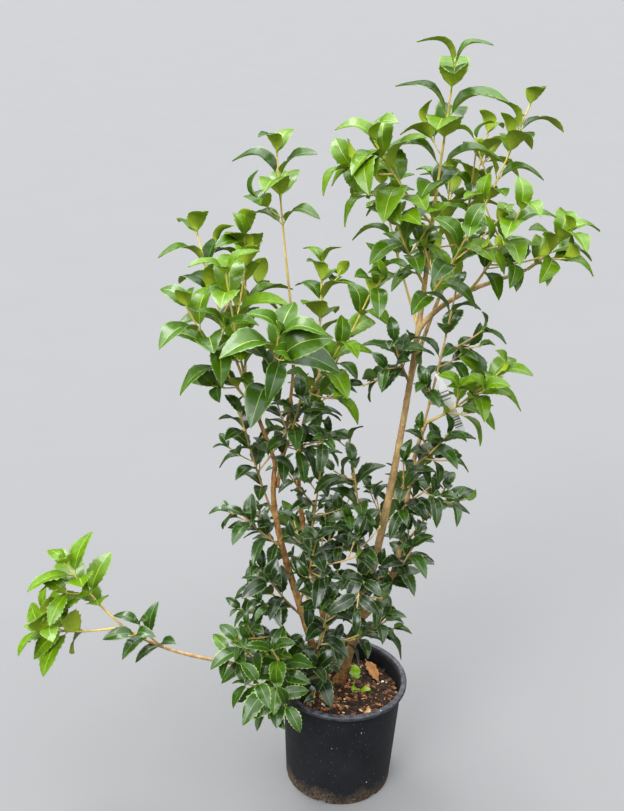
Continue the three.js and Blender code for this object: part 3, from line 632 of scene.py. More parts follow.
class Plant:
    """Grows every shoot once, and keeps what each piece is then made from."""

    def __init__(self):
        self.crowd = Crowd()
        self.limbs = {}
        for name in ["pot", "compost"] + [limb.name for limb in LIMBS]:
            self.crowd.add(node_mesh(name), node_mesh(name), name)
        for limb in LIMBS:
            curve = curve_through(*limb.through)
            self.limbs[limb.name] = (limb, curve, limb_radius(limb, curve))
        self.shoots = []
        for limb, rows in SHOOTS.items():
            for row in rows:
                self.start_shoot(Shoot(row[0], limb, *row[1:]))
        self.hang_label()
        for sight in SIGHTS:
            self.open_sight(*sight)
        for shoot in self.shoots:
            self.add_twigs(shoot)
        for shoot in self.shoots:
            self.add_leaves(shoot, shoot.stems[0], shoot.pairs, shoot.bare, shoot.leaf)
            for stem in shoot.stems[1:]:
                self.add_leaves(shoot, stem, TWIG_PAIRS, TWIG_BARE, TWIG_LEAF * shoot.leaf)
        for shoot in self.shoots:
            self.add_new_leaves(shoot)
        for shoot in self.shoots:
            self.add_fine_twigs(shoot)

    def start_shoot(self, shoot):
        """The stem of a leafy shoot, from the axis of its limb to its tip."""
        _, curve, limb_radius_at = self.limbs[shoot.limb]
        start = curve.point(shoot.at)
        shoot.path = bowed(start, start + shoot.length * pointing(*shoot.aim))
        thick = min(STEM_RADIUS, float(limb_radius_at(shoot.at)))
        shoot.radius_at = lambda share: lerp(thick, STEM_TIP_RADIUS, share)
        shoot.room = SPACE_LEAVES * shoot.leaf + (SPACE_TWIGS * shoot.length if shoot.twigs else 0)
        number = len(self.shoots)
        shoot.roll = dice(SEED + SEED_STEP * number)
        shoot.looks = dice(SEED + 1 + SEED_STEP * number)
        shoot.fine = dice(FINE_SEED + SEED_STEP * number)
        rough = rod_mesh(shoot.path, shoot.radius_at)
        self.crowd.add(rough, rough, shoot.name)
        shoot.stems.append(Stem(shoot.path, shoot.radius_at, [], shoot.tone))
        self.shoots.append(shoot)

    def hang_label(self):
        """Keeps the label's place, and the way to it, free of twigs and leaves."""
        points, faces = node_mesh("label")
        self.crowd.add((points, faces), (points, faces), "label")
        for distance in np.arange(SIGHT_STEP, LABEL_SIGHT, SIGHT_STEP):
            nearer = (points + distance * pointing(*SIGHT_AIM), faces)
            self.crowd.add(nearer, nearer, "sight")

    def open_sight(self, name, first, last, reach):
        """Keeps the way to a stretch of trunk free, with copies of it that come nearer to the camera."""
        _, curve, radius_at = self.limbs[name]
        for distance in np.arange(SIGHT_STEP, reach, SIGHT_STEP):
            nearer = Curve(*(curve.controls + distance * pointing(*SIGHT_AIM)))
            stretch = rod_mesh(nearer, radius_at, shares=np.linspace(first, last, SIGHT_RINGS))
            self.crowd.add(stretch, stretch, "sight")

    def leaves_space(self, shoot, point):
        """Whether a point lies outside the space that a shoot keeps to."""
        start, _, end = shoot.path.controls
        line = end - start
        share = min(1.0, max(0.0, float((point - start) @ line) / float(line @ line)))
        return np.linalg.norm(start + line * share - point) > shoot.room

    def add_twigs(self, shoot):
        for i in range(shoot.twigs):
            step = (i + 0.5 + swing(TWIG_JITTER, shoot.roll)) / shoot.twigs
            share = lerp(shoot.bare, HIGHEST_TWIG, step)
            reach = shoot.length * (TWIG_REACH + TWIG_REACH_RANGE * shoot.roll())
            first_angle = 2 * math.pi * shoot.roll()
            twig = self.add_twig(shoot, shoot.path, share, reach, first_angle, TWIG_RADIUS)
            if twig:
                shoot.stems.append(twig)

    def add_twig(self, shoot, parent, share, reach, first_angle, radius):
        """A side twig. It tries several directions, and is left out where each touches something or
        leaves the shoot's space."""
        root = parent.point(share)
        along = parent.along(share)
        level, across = square_to(along)
        radius_at = lambda way: lerp(radius, min(radius, STEM_TIP_RADIUS), way)
        for i in range(TWIG_TRIES):
            angle = first_angle + 2 * math.pi * i / TWIG_TRIES
            end = root + reach * (TWIG_FORWARD * along + TWIG_ASIDE * aside_at(angle, level, across))
            path = bowed(root, end)
            rough = rod_mesh(path, lambda way: radius_at(way) + CLEAR)
            if not self.leaves_space(shoot, end) and not self.crowd.touches(rough, None, shoot.name):
                self.crowd.add(rough, rough, shoot.name)
                return Stem(path, radius_at, [], shoot.tone)
        return None

    def add_leaf(self, shoot, stem, share, turn, lean, length):
        """One leaf of a pair. It turns aside where it would touch something or leave the shoot's
        space, and is left out at the last."""
        along = stem.path.along(share)
        level, across = square_to(along)
        root = stem.path.point(share)
        looks = shoot.looks
        habit = shoot.habit
        bend = dict(
            arch=habit["arch"] * (ARCH_LEAST + ARCH_RANGE * looks()),
            droop=habit["droop"],
            spine=habit["spine"],
            fold=habit["fold"] + swing(FOLD_JITTER, looks),
            twist=swing(TWIST_JITTER, looks),
            phase=2 * math.pi * looks(),
            wave=WAVE_LEAST + WAVE_RANGE * looks(),
            width=habit["width"] + swing(WIDTH_JITTER, looks),
            tone=shoot.tone + swing(TONE_JITTER, looks) + TONE_RISE * (share - TONE_MIDDLE),
            curl=CURL_LEAST + CURL_RANGE * looks(),
        )
        for aside in TURNS:
            away = aside_at(math.radians(turn + aside), level, across)
            out = math.cos(lean) * along + math.sin(lean) * away
            # The blade turns its upper face to the tip of its stem and to the light.
            up = math.sin(lean) * along - math.cos(lean) * away + TO_LIGHT * UP
            up = unit(up - out * (up @ out))
            leaf = Leaf(root, out, up, length, **bend)
            whole, blade = leaf_rough(leaf), leaf_rough(leaf, BLADE_START)
            if not self.leaves_space(shoot, root + out * length) and within_reach(whole[0]):
                if not self.crowd.touches(whole, blade, shoot.name):
                    self.crowd.add(whole, blade, shoot.name)
                    shoot.leaves.append(leaf)
                    return

    def add_leaves(self, shoot, stem, pairs, bare, leaf_length):
        """Opposite pairs of leaves along a stem or twig, each pair a quarter turn from the one below."""
        roll = shoot.roll
        first_turn = 90 * roll()
        for k in range(pairs):
            height = k / max(1, pairs - 1)
            share = lerp(bare, LAST_PAIR, height**PAIR_CROWDING)
            spread = lerp(*shoot.habit["lean"], height**SPREAD_CURVE)
            growth = TIP_LEAF if k == pairs - 1 else FIRST_LEAF + MIDDLE_LEAF * math.sin(math.pi * height)
            turn = first_turn + 90 * k + swing(PAIR_JITTER, roll)
            stem.nodes.append(share)
            for half in (0, 180):
                lean = math.radians(spread + swing(LEAN_JITTER, roll))
                size = leaf_length * growth * (1 + swing(SIZE_JITTER, roll))
                self.add_leaf(shoot, stem, share, turn + half, lean, size)

    def add_new_leaves(self, shoot):
        """The small folded leaves that open at each tip."""
        for stem in shoot.stems:
            turn = 360 * shoot.fine()
            for half in (0, 180):
                lean = math.radians(NEW_SPREAD + swing(LEAN_JITTER, shoot.fine))
                size = NEW_LEAF * shoot.leaf * (NEW_LEAF_LEAST + NEW_LEAF_RANGE * shoot.fine())
                self.add_leaf(shoot, stem, 1.0, turn + half, lean, size)

    def add_fine_twigs(self, shoot):
        """Short side twigs between the others, with small leaves."""
        roll = shoot.fine
        to_the_metre = FINE_YOUNG if shoot.young else FINE_OLD
        for stem in list(shoot.stems):
            lowest = shoot.bare if stem is shoot.stems[0] else FINE_LOWEST
            for _ in range(round(to_the_metre * stem.path.length())):
                share = lerp(lowest, FINE_HIGHEST, roll())
                reach = FINE_REACH + FINE_REACH_RANGE * roll()
                twig = self.add_twig(shoot, stem.path, share, reach, 2 * math.pi * roll(), FINE_RADIUS)
                if twig:
                    shoot.stems.append(twig)
                    self.add_fine_leaves(shoot, twig)

    def add_fine_leaves(self, shoot, twig):
        roll = shoot.fine
        first_turn = 90 * roll()
        for k, (share, spread, smaller) in enumerate(FINE_PAIRS):
            twig.nodes.append(share)
            for half in (0, 180):
                lean = math.radians(spread + swing(LEAN_JITTER, roll))
                size = shoot.leaf * FINE_LEAF * smaller * (FINE_LEAF_LEAST + FINE_LEAF_RANGE * roll())
                self.add_leaf(shoot, twig, share, first_turn + 90 * k + half, lean, size)


plant_grown = []


def grown_plant():
    """The one plant that every operator works from, grown at the first call."""
    if not plant_grown:
        plant_grown.append(Plant())
    return plant_grown[0]


# Meshes

class Shape:
    """Gathers points, faces and the material number of each face for one piece."""

    def __init__(self):
        self.points = []
        self.faces = []
        self.slots = []
        self.count = 0

    def add(self, points, faces, slots):
        """slots is one material number, or one for each face."""
        points = np.asarray(points, float).reshape(-1, 3)
        self.points.append(points)
        base = self.count
        self.faces += [tuple(base + corner for corner in face) for face in faces]
        self.slots += [slots] * len(faces) if isinstance(slots, int) else list(slots)
        self.count += len(points)

    def mesh(self, name):
        mesh = bpy.data.meshes.new(name)
        mesh.from_pydata(np.concatenate(self.points).tolist(), [], self.faces)
        return mesh

    def piece(self, name, materials, slot, replaced=(), sharp=50):
        """Makes the object, which rides on the plant's one body and stands for the solids named."""
        mesh = self.mesh(name)
        for material in materials:
            mesh.materials.append(material)
        mesh.polygons.foreach_set("material_index", self.slots)
        mesh.polygons.foreach_set("use_smooth", [True] * len(self.faces))
        mesh.update()
        mesh.set_sharp_from_angle(angle=math.radians(sharp))
        piece = put_in_scene(name, mesh)
        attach(piece, "root")
        if replaced:
            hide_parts(*replaced)
        return piece


def put_in_scene(name, data):
    thing = bpy.data.objects.new(name, data)
    bpy.context.scene.collection.objects.link(thing)
    return thing


def carried_frames(points):
    """Directions along, aside and square to each point of a line, turned as little as can be."""
    steps = np.gradient(points, axis=0)
    along = unit(steps)
    aside = [square_to(along[0])[0]]
    for direction in along[1:]:
        last = aside[-1] - direction * (aside[-1] @ direction)
        aside.append(unit(last))
    aside = np.array(aside)
    return along, aside, np.cross(along, aside)


def tube(shape, points, radii, sides, slot):
    """A closed tube along a line of points. radii has a value for each point, or for each point and side."""
    points = np.asarray(points, float)
    along, aside, across = carried_frames(points)
    angles = round_angles(sides)
    radii = np.broadcast_to(np.asarray(radii, float).reshape(len(points), -1), (len(points), sides))
    rings = (points[:, None] + aside[:, None] * (np.cos(angles) * radii)[..., None]
             + across[:, None] * (np.sin(angles) * radii)[..., None])
    last = (len(points) - 1) * sides
    faces = ring_faces(len(points), sides)
    faces.append(tuple(range(sides))[::-1])
    faces.append(tuple(last + j for j in range(sides)))
    shape.add(rings, faces, slot)


# Leaf meshes

# Where the columns of a blade's points lie from side to side, above and below, and what the faces
# between them show; then the material numbers of a leaf piece
TOP_COLUMNS = (-1, -0.955, -0.5, -0.032, 0.032, 0.5, 0.955, 1)
UNDER_COLUMNS = (0.955, 0.5, 0, -0.5, -0.955)
LAMINA, MARGIN, RIB, UNDER = range(4)
TOP_PARTS = (MARGIN, LAMINA, LAMINA, RIB, LAMINA, LAMINA, MARGIN)
TONES = 3
EDGE_SLOT = TONES
UNDER_SLOT = TONES + 1
DAMAGE_SLOT = TONES + 2
SOFT_EDGE_SLOT = TONES + 3


def leaf_mesh(leaf):
    """The points of a leaf's blade, row by row: its columns above, and then back below."""
    rows = 2 * leaf.teeth + 1
    columns = np.array(TOP_COLUMNS + UNDER_COLUMNS, float)
    way, across = np.meshgrid(np.linspace(0, 1, rows), columns, indexing="ij")
    # Veins run forward from the rib, and the blade is raised between them.
    step = 1 / (rows - 1)
    tooth_row = (np.arange(rows) % 2 == 1)[:, None]
    toothed = tooth_row & (np.abs(across) == 1)
    way = way + VEIN_SWEEP * np.abs(across) * np.sin(math.pi * way)
    way = np.where(toothed, way + TOOTH_HOOK * step, way)
    way = np.clip(way, 0, 1)
    middle = 1 - np.abs(np.abs(across) - 0.5) * 2
    pucker = np.where(tooth_row, -PUCKER, PUCKER) * np.clip(middle, 0, 1) * leaf.length * outline(way)
    under = np.arange(len(columns)) >= len(TOP_COLUMNS)
    lift = pucker - np.where(under, BLADE_THICKNESS, 0) - np.where(under & (across == 0), RIB_DEPTH, 0)
    swept = TOOTH_LIFT * leaf.spine * leaf.length * np.sin(TOOTH_WAVES * way + leaf.phase)
    lift = lift + np.where(toothed, swept, 0)
    across = np.where(toothed, across * (1 + leaf.spine * 2 / leaf.width), across)
    return leaf_surface(leaf, way, across, lift).reshape(-1, 3)


leaf_faces_known = {}


def leaf_faces(teeth):
    """The faces of a blade with so many teeth a side, and the part of each: closed rings round it."""
    if teeth not in leaf_faces_known:
        rows = 2 * teeth + 1
        ring = len(TOP_COLUMNS) + len(UNDER_COLUMNS)
        faces, parts = [], []
        for i in range(rows - 1):
            for j in range(ring):
                k = (j + 1) % ring
                face = (i * ring + j, i * ring + k, (i + 1) * ring + k, (i + 1) * ring + j)
                # Above and below, a face is split along the same diagonal, so that neither side cuts
                # through the other.
                faces.append(face if j < len(TOP_PARTS) else face[1:] + face[:1])
                parts.append(TOP_PARTS[j] if j < len(TOP_PARTS) else UNDER)
        faces.append(tuple(range(ring))[::-1])
        faces.append(tuple((rows - 1) * ring + j for j in range(ring)))
        parts += [MARGIN, MARGIN]
        leaf_faces_known[teeth] = faces, parts
    return leaf_faces_known[teeth]


def add_leaf_to(shape, leaf, tone, dead_from=1):
    """A whole leaf: its blade and its stalk. Its end is dead from a share of its length on."""
    faces, parts = leaf_faces(leaf.teeth)
    rib = EDGE_SLOT if tone >= 1 else SOFT_EDGE_SLOT
    number = {LAMINA: int(np.clip(tone, 0, TONES - 1)), MARGIN: SOFT_EDGE_SLOT, RIB: rib, UNDER: UNDER_SLOT}
    slots = [number[part] for part in parts]
    first_dead = round(dead_from * len(parts))
    slots[first_dead:] = [DAMAGE_SLOT] * len(slots[first_dead:])
    shape.add(leaf_mesh(leaf), faces, slots)
    line = leaf_spine(leaf, np.linspace(STALK_START, STALK + STALK_LAP, STALK_ROWS))
    # The stalk lies under the blade where they meet.
    line = line - leaf.up * BLADE_THICKNESS
    radii = np.linspace(*STALK_TAPER, STALK_ROWS) * STALK_RADIUS * (leaf.length / YOUNG_LEAF) ** 0.5
    tube(shape, line, radii, STALK_SIDES, EDGE_SLOT)


# Materials

def add_node(tree, kind, inputs=None, **properties):
    """A shader node with its properties set, and its inputs each given a value or another node's output."""
    node = tree.nodes.new(kind)
    for name, value in properties.items():
        setattr(node, name, value)
    for key, value in (inputs or {}).items():
        if isinstance(value, bpy.types.NodeSocket):
            tree.links.new(value, node.inputs[key])
        else:
            node.inputs[key].default_value = value
    return node


def new_group(name, inputs, outputs):
    """An empty shader node group with its sockets, and the nodes that read and fill them. The inputs
    come with their values: a colour's are four numbers."""
    group = bpy.data.node_groups.new(name, "ShaderNodeTree")
    for socket, default in inputs.items():
        kind = "NodeSocketColor" if isinstance(default, tuple) else "NodeSocketFloat"
        group.interface.new_socket(name=socket, in_out="INPUT", socket_type=kind).default_value = default
    for socket in outputs:
        kind = "NodeSocketColor" if socket == "Color" else "NodeSocketFloat"
        group.interface.new_socket(name=socket, in_out="OUTPUT", socket_type=kind)
    return group, group.nodes.new("NodeGroupInput").outputs, group.nodes.new("NodeGroupOutput").inputs


def place_in_piece(tree):
    """The place of a point in the piece's own frame, which is the plant's."""
    return add_node(tree, "ShaderNodeTexCoord").outputs["Object"]


def mix_colours(tree, factor, first, second):
    node = add_node(tree, "ShaderNodeMix", {0: factor, 6: first, 7: second}, data_type="RGBA")
    return node.outputs[2]


def remap(tree, value, low, high, first=0.0, last=1.0):
    inputs = {"Value": value, "From Min": low, "From Max": high, "To Min": first, "To Max": last}
    return add_node(tree, "ShaderNodeMapRange", inputs, clamp=True).outputs["Result"]


def maths(tree, operation, first, second):
    return add_node(tree, "ShaderNodeMath", {0: first, 1: second}, operation=operation).outputs[0]


def multiply(tree, first, second):
    return maths(tree, "MULTIPLY", first, second)


def cloud(tree, where, scale, detail, rough):
    inputs = {"Vector": where, "Scale": scale, "Detail": detail, "Roughness": rough}
    return add_node(tree, "ShaderNodeTexNoise", inputs).outputs[0]


def stretched_place(tree, stretch):
    """The place of a point, with its height made more or less of."""
    flat = add_node(tree, "ShaderNodeCombineXYZ", {0: 1.0, 1: 1.0, 2: stretch}).outputs[0]
    both = {0: place_in_piece(tree), 1: flat}
    return add_node(tree, "ShaderNodeVectorMath", both, operation="MULTIPLY").outputs[0]


def make_mottle_group():
    """Soft patches of two colours."""
    group, inside, outside = new_group(
        "Soft patches",
        {"First Color": (0, 0, 0, 1), "Second Color": (1, 1, 1, 1), "Scale": 60.0, "Softness": 0.3,
         "Stretch": 1.0},
        ("Color", "Mask"))
    clouds = cloud(group, stretched_place(group, inside["Stretch"]), inside["Scale"], 4.0, 0.6)
    low = maths(group, "SUBTRACT", 0.5, inside["Softness"])
    high = maths(group, "ADD", 0.5, inside["Softness"])
    mask = remap(group, clouds, low, high)
    group.links.new(mask, outside["Mask"])
    group.links.new(mix_colours(group, mask, inside["First Color"], inside["Second Color"]), outside["Color"])
    return group


def make_speck_group():
    """Small scattered specks of uneven size."""
    group, inside, outside = new_group("Specks", {"Scale": 400.0, "Size": 0.3, "Share": 0.5}, ("Mask",))
    inputs = {"Vector": place_in_piece(group), "Scale": inside["Scale"]}
    cells = add_node(group, "ShaderNodeTexVoronoi", inputs)
    chance = add_node(group, "ShaderNodeSeparateColor", {0: cells.outputs["Color"]}).outputs[0]
    kept = maths(group, "LESS_THAN", chance, inside["Share"])
    edge = multiply(group, inside["Size"], 0.6)
    dot = remap(group, cells.outputs["Distance"], edge, inside["Size"], 1.0, 0.0)
    group.links.new(multiply(group, kept, dot), outside["Mask"])
    return group


def make_grain_group():
    """A fine uneven height, which can be drawn out along the plant's upright."""
    group, inside, outside = new_group("Fine grain", {"Scale": 500.0, "Stretch": 1.0}, ("Height",))
    clouds = cloud(group, stretched_place(group, inside["Stretch"]), inside["Scale"], 5.0, 0.62)
    group.links.new(clouds, outside["Height"])
    return group


def make_height_group():
    """A band that fades out above a height, with an uneven edge."""
    group, inside, outside = new_group(
        "Band by height", {"Bottom": 0.0, "Top": 1.0, "Unevenness": 0.01, "Scale": 40.0}, ("Mask",))
    where = place_in_piece(group)
    height = add_node(group, "ShaderNodeSeparateXYZ", {0: where}).outputs[2]
    uneven = maths(group, "SUBTRACT", cloud(group, where, inside["Scale"], 4.0, 0.5), 0.5)
    moved = maths(group, "ADD", height, multiply(group, uneven, inside["Unevenness"]))
    group.links.new(remap(group, moved, inside["Bottom"], inside["Top"], 1.0, 0.0), outside["Mask"])
    return group


GROUP_MAKERS = {
    "Soft patches": make_mottle_group,
    "Specks": make_speck_group,
    "Fine grain": make_grain_group,
    "Band by height": make_height_group,
}


def effect(tree, name, inputs):
    """A shared effect, placed in a material with its own values."""
    group = bpy.data.node_groups.get(name) or GROUP_MAKERS[name]()
    return add_node(tree, "ShaderNodeGroup", inputs, node_tree=group).outputs


def opaque(colour):
    return (*colour[:3], 1.0)


def shade(colour, factor):
    return tuple(min(1.0, channel * factor) for channel in colour[:3]) + (1.0,)


def new_material(name, rough, specular=0.5, coat=0.0, coat_rough=0.1):
    """A material with its shader's plain values set."""
    material = bpy.data.materials.new(name)
    material.use_nodes = True
    tree = material.node_tree
    shader = tree.nodes["Principled BSDF"]
    shader.inputs["Roughness"].default_value = rough
    shader.inputs["Specular IOR Level"].default_value = specular
    shader.inputs["Coat Weight"].default_value = coat
    shader.inputs["Coat Roughness"].default_value = coat_rough
    return material, tree, shader


def patchy(tree, first, second, scale, softness=0.3, stretch=1.0):
    """Soft patches of two colours, with their own scale."""
    return effect(tree, "Soft patches", {"First Color": first, "Second Color": second, "Scale": scale,
                                         "Softness": softness, "Stretch": stretch})


def specks_over(tree, colour, speck, scale, size, share, strength):
    """A colour with scattered specks of another over it."""
    specks = effect(tree, "Specks", {"Scale": scale, "Size": size, "Share": share})
    return mix_colours(tree, multiply(tree, specks["Mask"], strength), colour, speck)


def add_grain(tree, shader, scale, depth, stretch=1.0):
    """Gives a surface a fine uneven height."""
    grain = effect(tree, "Fine grain", {"Scale": scale, "Stretch": stretch})
    bump = add_node(tree, "ShaderNodeBump", {"Height": grain["Height"], "Distance": depth})
    tree.links.new(bump.outputs[0], shader.inputs["Normal"])


def leaf_material(name, colour, gloss):
    """The upper side of a leaf: glossy, a little uneven in colour, with fine droplet specks."""
    material, tree, shader = new_material(name, 0.3, gloss, coat=gloss, coat_rough=0.14)
    patches = patchy(tree, shade(colour, 0.74), shade(colour, 1.22), 95.0, 0.22)
    base = specks_over(tree, patches["Color"], shade(colour, 0.45), 420.0, 0.26, 0.3, 0.4)
    tree.links.new(base, shader.inputs["Base Color"])
    tree.links.new(remap(tree, patches["Mask"], 0.0, 1.0, 0.26, 0.38), shader.inputs["Roughness"])
    add_grain(tree, shader, 700.0, 0.00025)
    return material


def plain_material(name, colours, rough, scale, softness, grain_scale, grain_depth, specular=0.5):
    """A surface with soft patches of two colours and a fine grain."""
    material, tree, shader = new_material(name, rough, specular)
    patches = patchy(tree, *colours, scale, softness)
    tree.links.new(patches["Color"], shader.inputs["Base Color"])
    add_grain(tree, shader, grain_scale, grain_depth)
    return material


def plain_plant_material(name, colour, rough, scale=150.0, spread=0.2, bump=0.0002, bump_scale=900.0):
    """A plant's surface with soft patches of light and shade."""
    colours = (shade(colour, 1 - spread), shade(colour, 1 + spread))
    return plain_material(name, colours, rough, scale, 0.3, bump_scale, bump)


def earth_material(name, colour, rough=0.92):
    """Compost and the scraps of bark in it."""
    colours = (shade(colour, 0.5), shade(colour, 1.45))
    return plain_material(name, colours, rough, 190.0, 0.2, 620.0, 0.0008, specular=0.2)


def label_material(name, colour):
    """Smooth plastic with a faint film of dust."""
    return plain_material(name, (opaque(colour), shade(colour, 0.86)), 0.4, 55.0, 0.25, 300.0, 0.0001)


def bark_material(name, light, dark, foot, foot_top):
    """Bark: light above with drawn-out darker patches, brown at the foot, with pale breathing pores."""
    material, tree, shader = new_material(name, 0.72, 0.3)
    patches = patchy(tree, opaque(light), opaque(dark), 130.0, 0.11, 0.45)
    streaks = patchy(tree, patches["Color"], shade(dark, 0.55), 420.0, 0.2, 0.16)
    streaked = mix_colours(tree, 0.22, patches["Color"], streaks["Color"])
    low = effect(tree, "Band by height", {"Bottom": SOIL_TOP, "Top": foot_top, "Unevenness": 0.12,
                                          "Scale": 30.0})
    earthy = patchy(tree, shade(foot, 1.5), shade(foot, 0.4), 120.0, 0.09, 1.6)
    browned = mix_colours(tree, multiply(tree, low["Mask"], 0.92), streaked, earthy["Color"])
    bands = effect(tree, "Soft patches", {"Scale": 34.0, "Softness": 0.16, "Stretch": 5.0})
    rings = remap(tree, bands["Mask"], 0.7, 0.95, 0.0, 0.55)
    footed = mix_colours(tree, rings, browned, shade(dark, 0.6))
    pored = specks_over(tree, footed, shade(light, 1.35), 330.0, 0.2, 0.16, 0.6)
    tree.links.new(pored, shader.inputs["Base Color"])
    tree.links.new(remap(tree, patches["Mask"], 0.0, 1.0, 0.62, 0.82), shader.inputs["Roughness"])
    add_grain(tree, shader, 800.0, 0.0006, 0.2)
    return material


def pot_material(settings):
    """Black moulded plastic: dusty, with a pale sheen painted in patches along the rim, and splashed with
    dirt at the foot.
    """
    material, tree, shader = new_material("pot_plastic_black", 0.42, 0.3)
    black = opaque(settings.colour)
    film = patchy(tree, black, shade(settings.dust, 0.12), 16.0, 0.28)
    filmed = mix_colours(tree, 0.22, black, film["Color"])
    # The pale patches along the rolled rim are a painted sheen, not wear.
    sheen_patches = effect(tree, "Soft patches", {"Scale": 90.0, "Softness": 0.12, "Stretch": 3.0})
    below = effect(tree, "Band by height", {"Bottom": settings.height - 0.012, "Top": settings.height - 0.004,
                                            "Unevenness": 0.002})
    at_rim = maths(tree, "SUBTRACT", 1.0, below["Mask"])
    painted_sheen_share = multiply(tree, at_rim, remap(tree, sheen_patches["Mask"], 0.0, 1.0, 0.1, 0.6))
    sheened = mix_colours(tree, painted_sheen_share, filmed, opaque(settings.painted_rim_sheen))
    dirt = effect(tree, "Band by height", {"Bottom": 0.002, "Top": 0.034, "Unevenness": 0.06, "Scale": 34.0})
    spots = effect(tree, "Soft patches", {"Scale": 260.0, "Softness": 0.1})
    soiled = multiply(tree, dirt["Mask"], remap(tree, spots["Mask"], 0.0, 1.0, 0.12, 1.0))
    dirty = mix_colours(tree, soiled, sheened, opaque(settings.dirt))
    specked = specks_over(tree, dirty, opaque(settings.dust), 240.0, 0.16, 0.16, 0.6)
    done = specks_over(tree, specked, opaque(settings.grit), 58.0, 0.075, 0.17, 1.0)
    tree.links.new(done, shader.inputs["Base Color"])
    rough = maths(tree, "ADD", remap(tree, film["Mask"], 0.0, 1.0, 0.34, 0.5), multiply(tree, soiled, 0.4))
    tree.links.new(rough, shader.inputs["Roughness"])
    add_grain(tree, shader, 260.0, 0.0003)
    return material


# Settings

def length_setting(name, words, default):
    return bpy.props.FloatProperty(name=name, description=words, default=default, unit="LENGTH")


def strength_setting(name, words, default):
    return bpy.props.FloatProperty(name=name, description=words, default=default)


def count_setting(name, words, default):
    return bpy.props.IntProperty(name=name, description=words, default=default)


def colour_setting(name, words, default):
    return bpy.props.FloatVectorProperty(name=name, description=words, default=default, subtype="COLOR",
                                         min=0.0, max=1.0)


def group_setting(name, words, kind):
    return bpy.props.PointerProperty(name=name, description=words, type=kind)


_, POT_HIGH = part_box("pot")


class PotSettings(bpy.types.PropertyGroup):
    height: length_setting("Height", "Height of the pot", POT_HIGH.z)
    rim_radius: length_setting("Rim radius", "Radius of the rolled rim", POT_HIGH.x)
    rim_depth: length_setting("Rim depth", "Height of the rolled rim", 0.008)
    rim_overhang: length_setting("Rim overhang", "How far the rim stands out of the wall", 0.009)
    base_radius: length_setting("Base radius", "Radius of the pot at its foot", 0.102)
    wall: length_setting("Wall", "Thickness of the wall", 0.0022)
    colour: colour_setting("Plastic", "Colour of the pot", (0.0080, 0.0092, 0.0118))
    painted_rim_sheen: colour_setting("Painted rim sheen", "Colour of the sheen painted along the rim", (0.12, 0.118, 0.14))
    # The rim's pale colour is a painted sheen.
    dust: colour_setting("Dust", "Colour of dust and specks on the pot", (0.5, 0.5, 0.5))
    grit: colour_setting("Grit", "Colour of the few larger specks on the pot", (0.85, 0.85, 0.82))
    dirt: colour_setting("Dirt", "Colour of the splashed earth at the pot's foot", (0.17, 0.115, 0.07))


class CompostSettings(bpy.types.PropertyGroup):
    chips: count_setting("Chips", "How many scraps of bark lie on the compost", 1100)
    crumbs: count_setting("Crumbs", "How many crumbs lie on the compost", 2600)
    earth: colour_setting("Earth", "Colour of the compost", (0.026, 0.016, 0.011))
    chip: colour_setting("Bark scraps", "Colour of most scraps", (0.11, 0.052, 0.024))
    rust: colour_setting("Rusty scraps", "Colour of the orange scraps", (0.34, 0.14, 0.045))
    tan: colour_setting("Tan scraps", "Colour of the pale scraps", (0.50, 0.32, 0.17))
    cream: colour_setting("Cream scraps", "Colour of the palest scraps", (0.62, 0.55, 0.42))


class LeafSettings(bpy.types.PropertyGroup):
    lime: colour_setting("Newest", "Upper side of the brightest leaves", (0.098, 0.20, 0.001))
    fresh: colour_setting("Fresh", "Upper side of bright leaves", (0.047, 0.118, 0.001))
    green: colour_setting("Green", "Upper side of grown leaves", (0.021, 0.063, 0.001))
    dark: colour_setting("Dark", "Upper side of older leaves", (0.015, 0.042, 0.001))
    deep: colour_setting("Deep", "Upper side of the oldest leaves", (0.007, 0.023, 0.001))
    sprout: colour_setting("Sprout", "Upper side of the sprout's leaves", (0.17, 0.34, 0.003))
    young_edge: colour_setting("Young edge", "Margin and rib of young leaves", (0.30, 0.42, 0.05))
    soft_edge: colour_setting("Soft edge", "Margin and rib of grown leaves", (0.155, 0.245, 0.05))
    old_edge: colour_setting("Old edge", "Margin and rib of old leaves", (0.10, 0.165, 0.05))
    # The young underside is a paler green of its own, brightened further as painted light shining through the
    # blade.
    young_under_with_painted_glow: colour_setting("Young underside", "Lower side of young leaves", (0.42, 0.56, 0.035))
    old_under: colour_setting("Old underside", "Lower side of old leaves", (0.11, 0.20, 0.03))
    dead: colour_setting("Dead leaf", "Colour of a dead leaf or leaf tip", (0.27, 0.115, 0.022))


class BarkSettings(bpy.types.PropertyGroup):
    step: length_setting("Step", "Distance between the rings of the bark's mesh", 0.0032)
    tan: colour_setting("Tan bark", "Colour of the right trunk", (0.80, 0.55, 0.25))
    tan_dark: colour_setting("Tan bark patches", "Darker patches of the right trunk", (0.52, 0.33, 0.145))
    rust: colour_setting("Brown bark", "Colour of the left trunk", (0.80, 0.44, 0.15))
    rust_dark: colour_setting("Brown bark patches", "Darker patches of the left trunk", (0.32, 0.14, 0.05))
    foot: colour_setting("Bark at the foot", "Colour of the trunks by the compost", (0.25, 0.105, 0.030))
    young_stem: colour_setting("Young stems", "Colour of this year's stems", (0.74, 0.55, 0.15))
    old_stem: colour_setting("Old stems", "Colour of older twigs", (0.55, 0.36, 0.13))
    bud: colour_setting("Buds", "Colour of the buds", (0.42, 0.52, 0.10))


class StageSettings(bpy.types.PropertyGroup):
    label: colour_setting("Label", "Colour of the blank label", (0.93, 0.94, 0.92))
    bars: colour_setting("Bars", "Colour of the plain bars on the label", (0.20, 0.20, 0.22))
    floor: colour_setting("Floor", "Colour of the plain floor", (0.185, 0.184, 0.186))
    backdrop: strength_setting("Backdrop", "Brightness of the plain backdrop", 0.65)
    zenith: strength_setting("Zenith", "Strength of the light from above", 3.8)
    horizon: strength_setting("Horizon", "Strength of the light from the sides", 0.12)
    top: strength_setting("Top light", "Strength of the soft light from above", 1.8)
    front: strength_setting("Front light", "Strength of the soft light in front", 2.25)


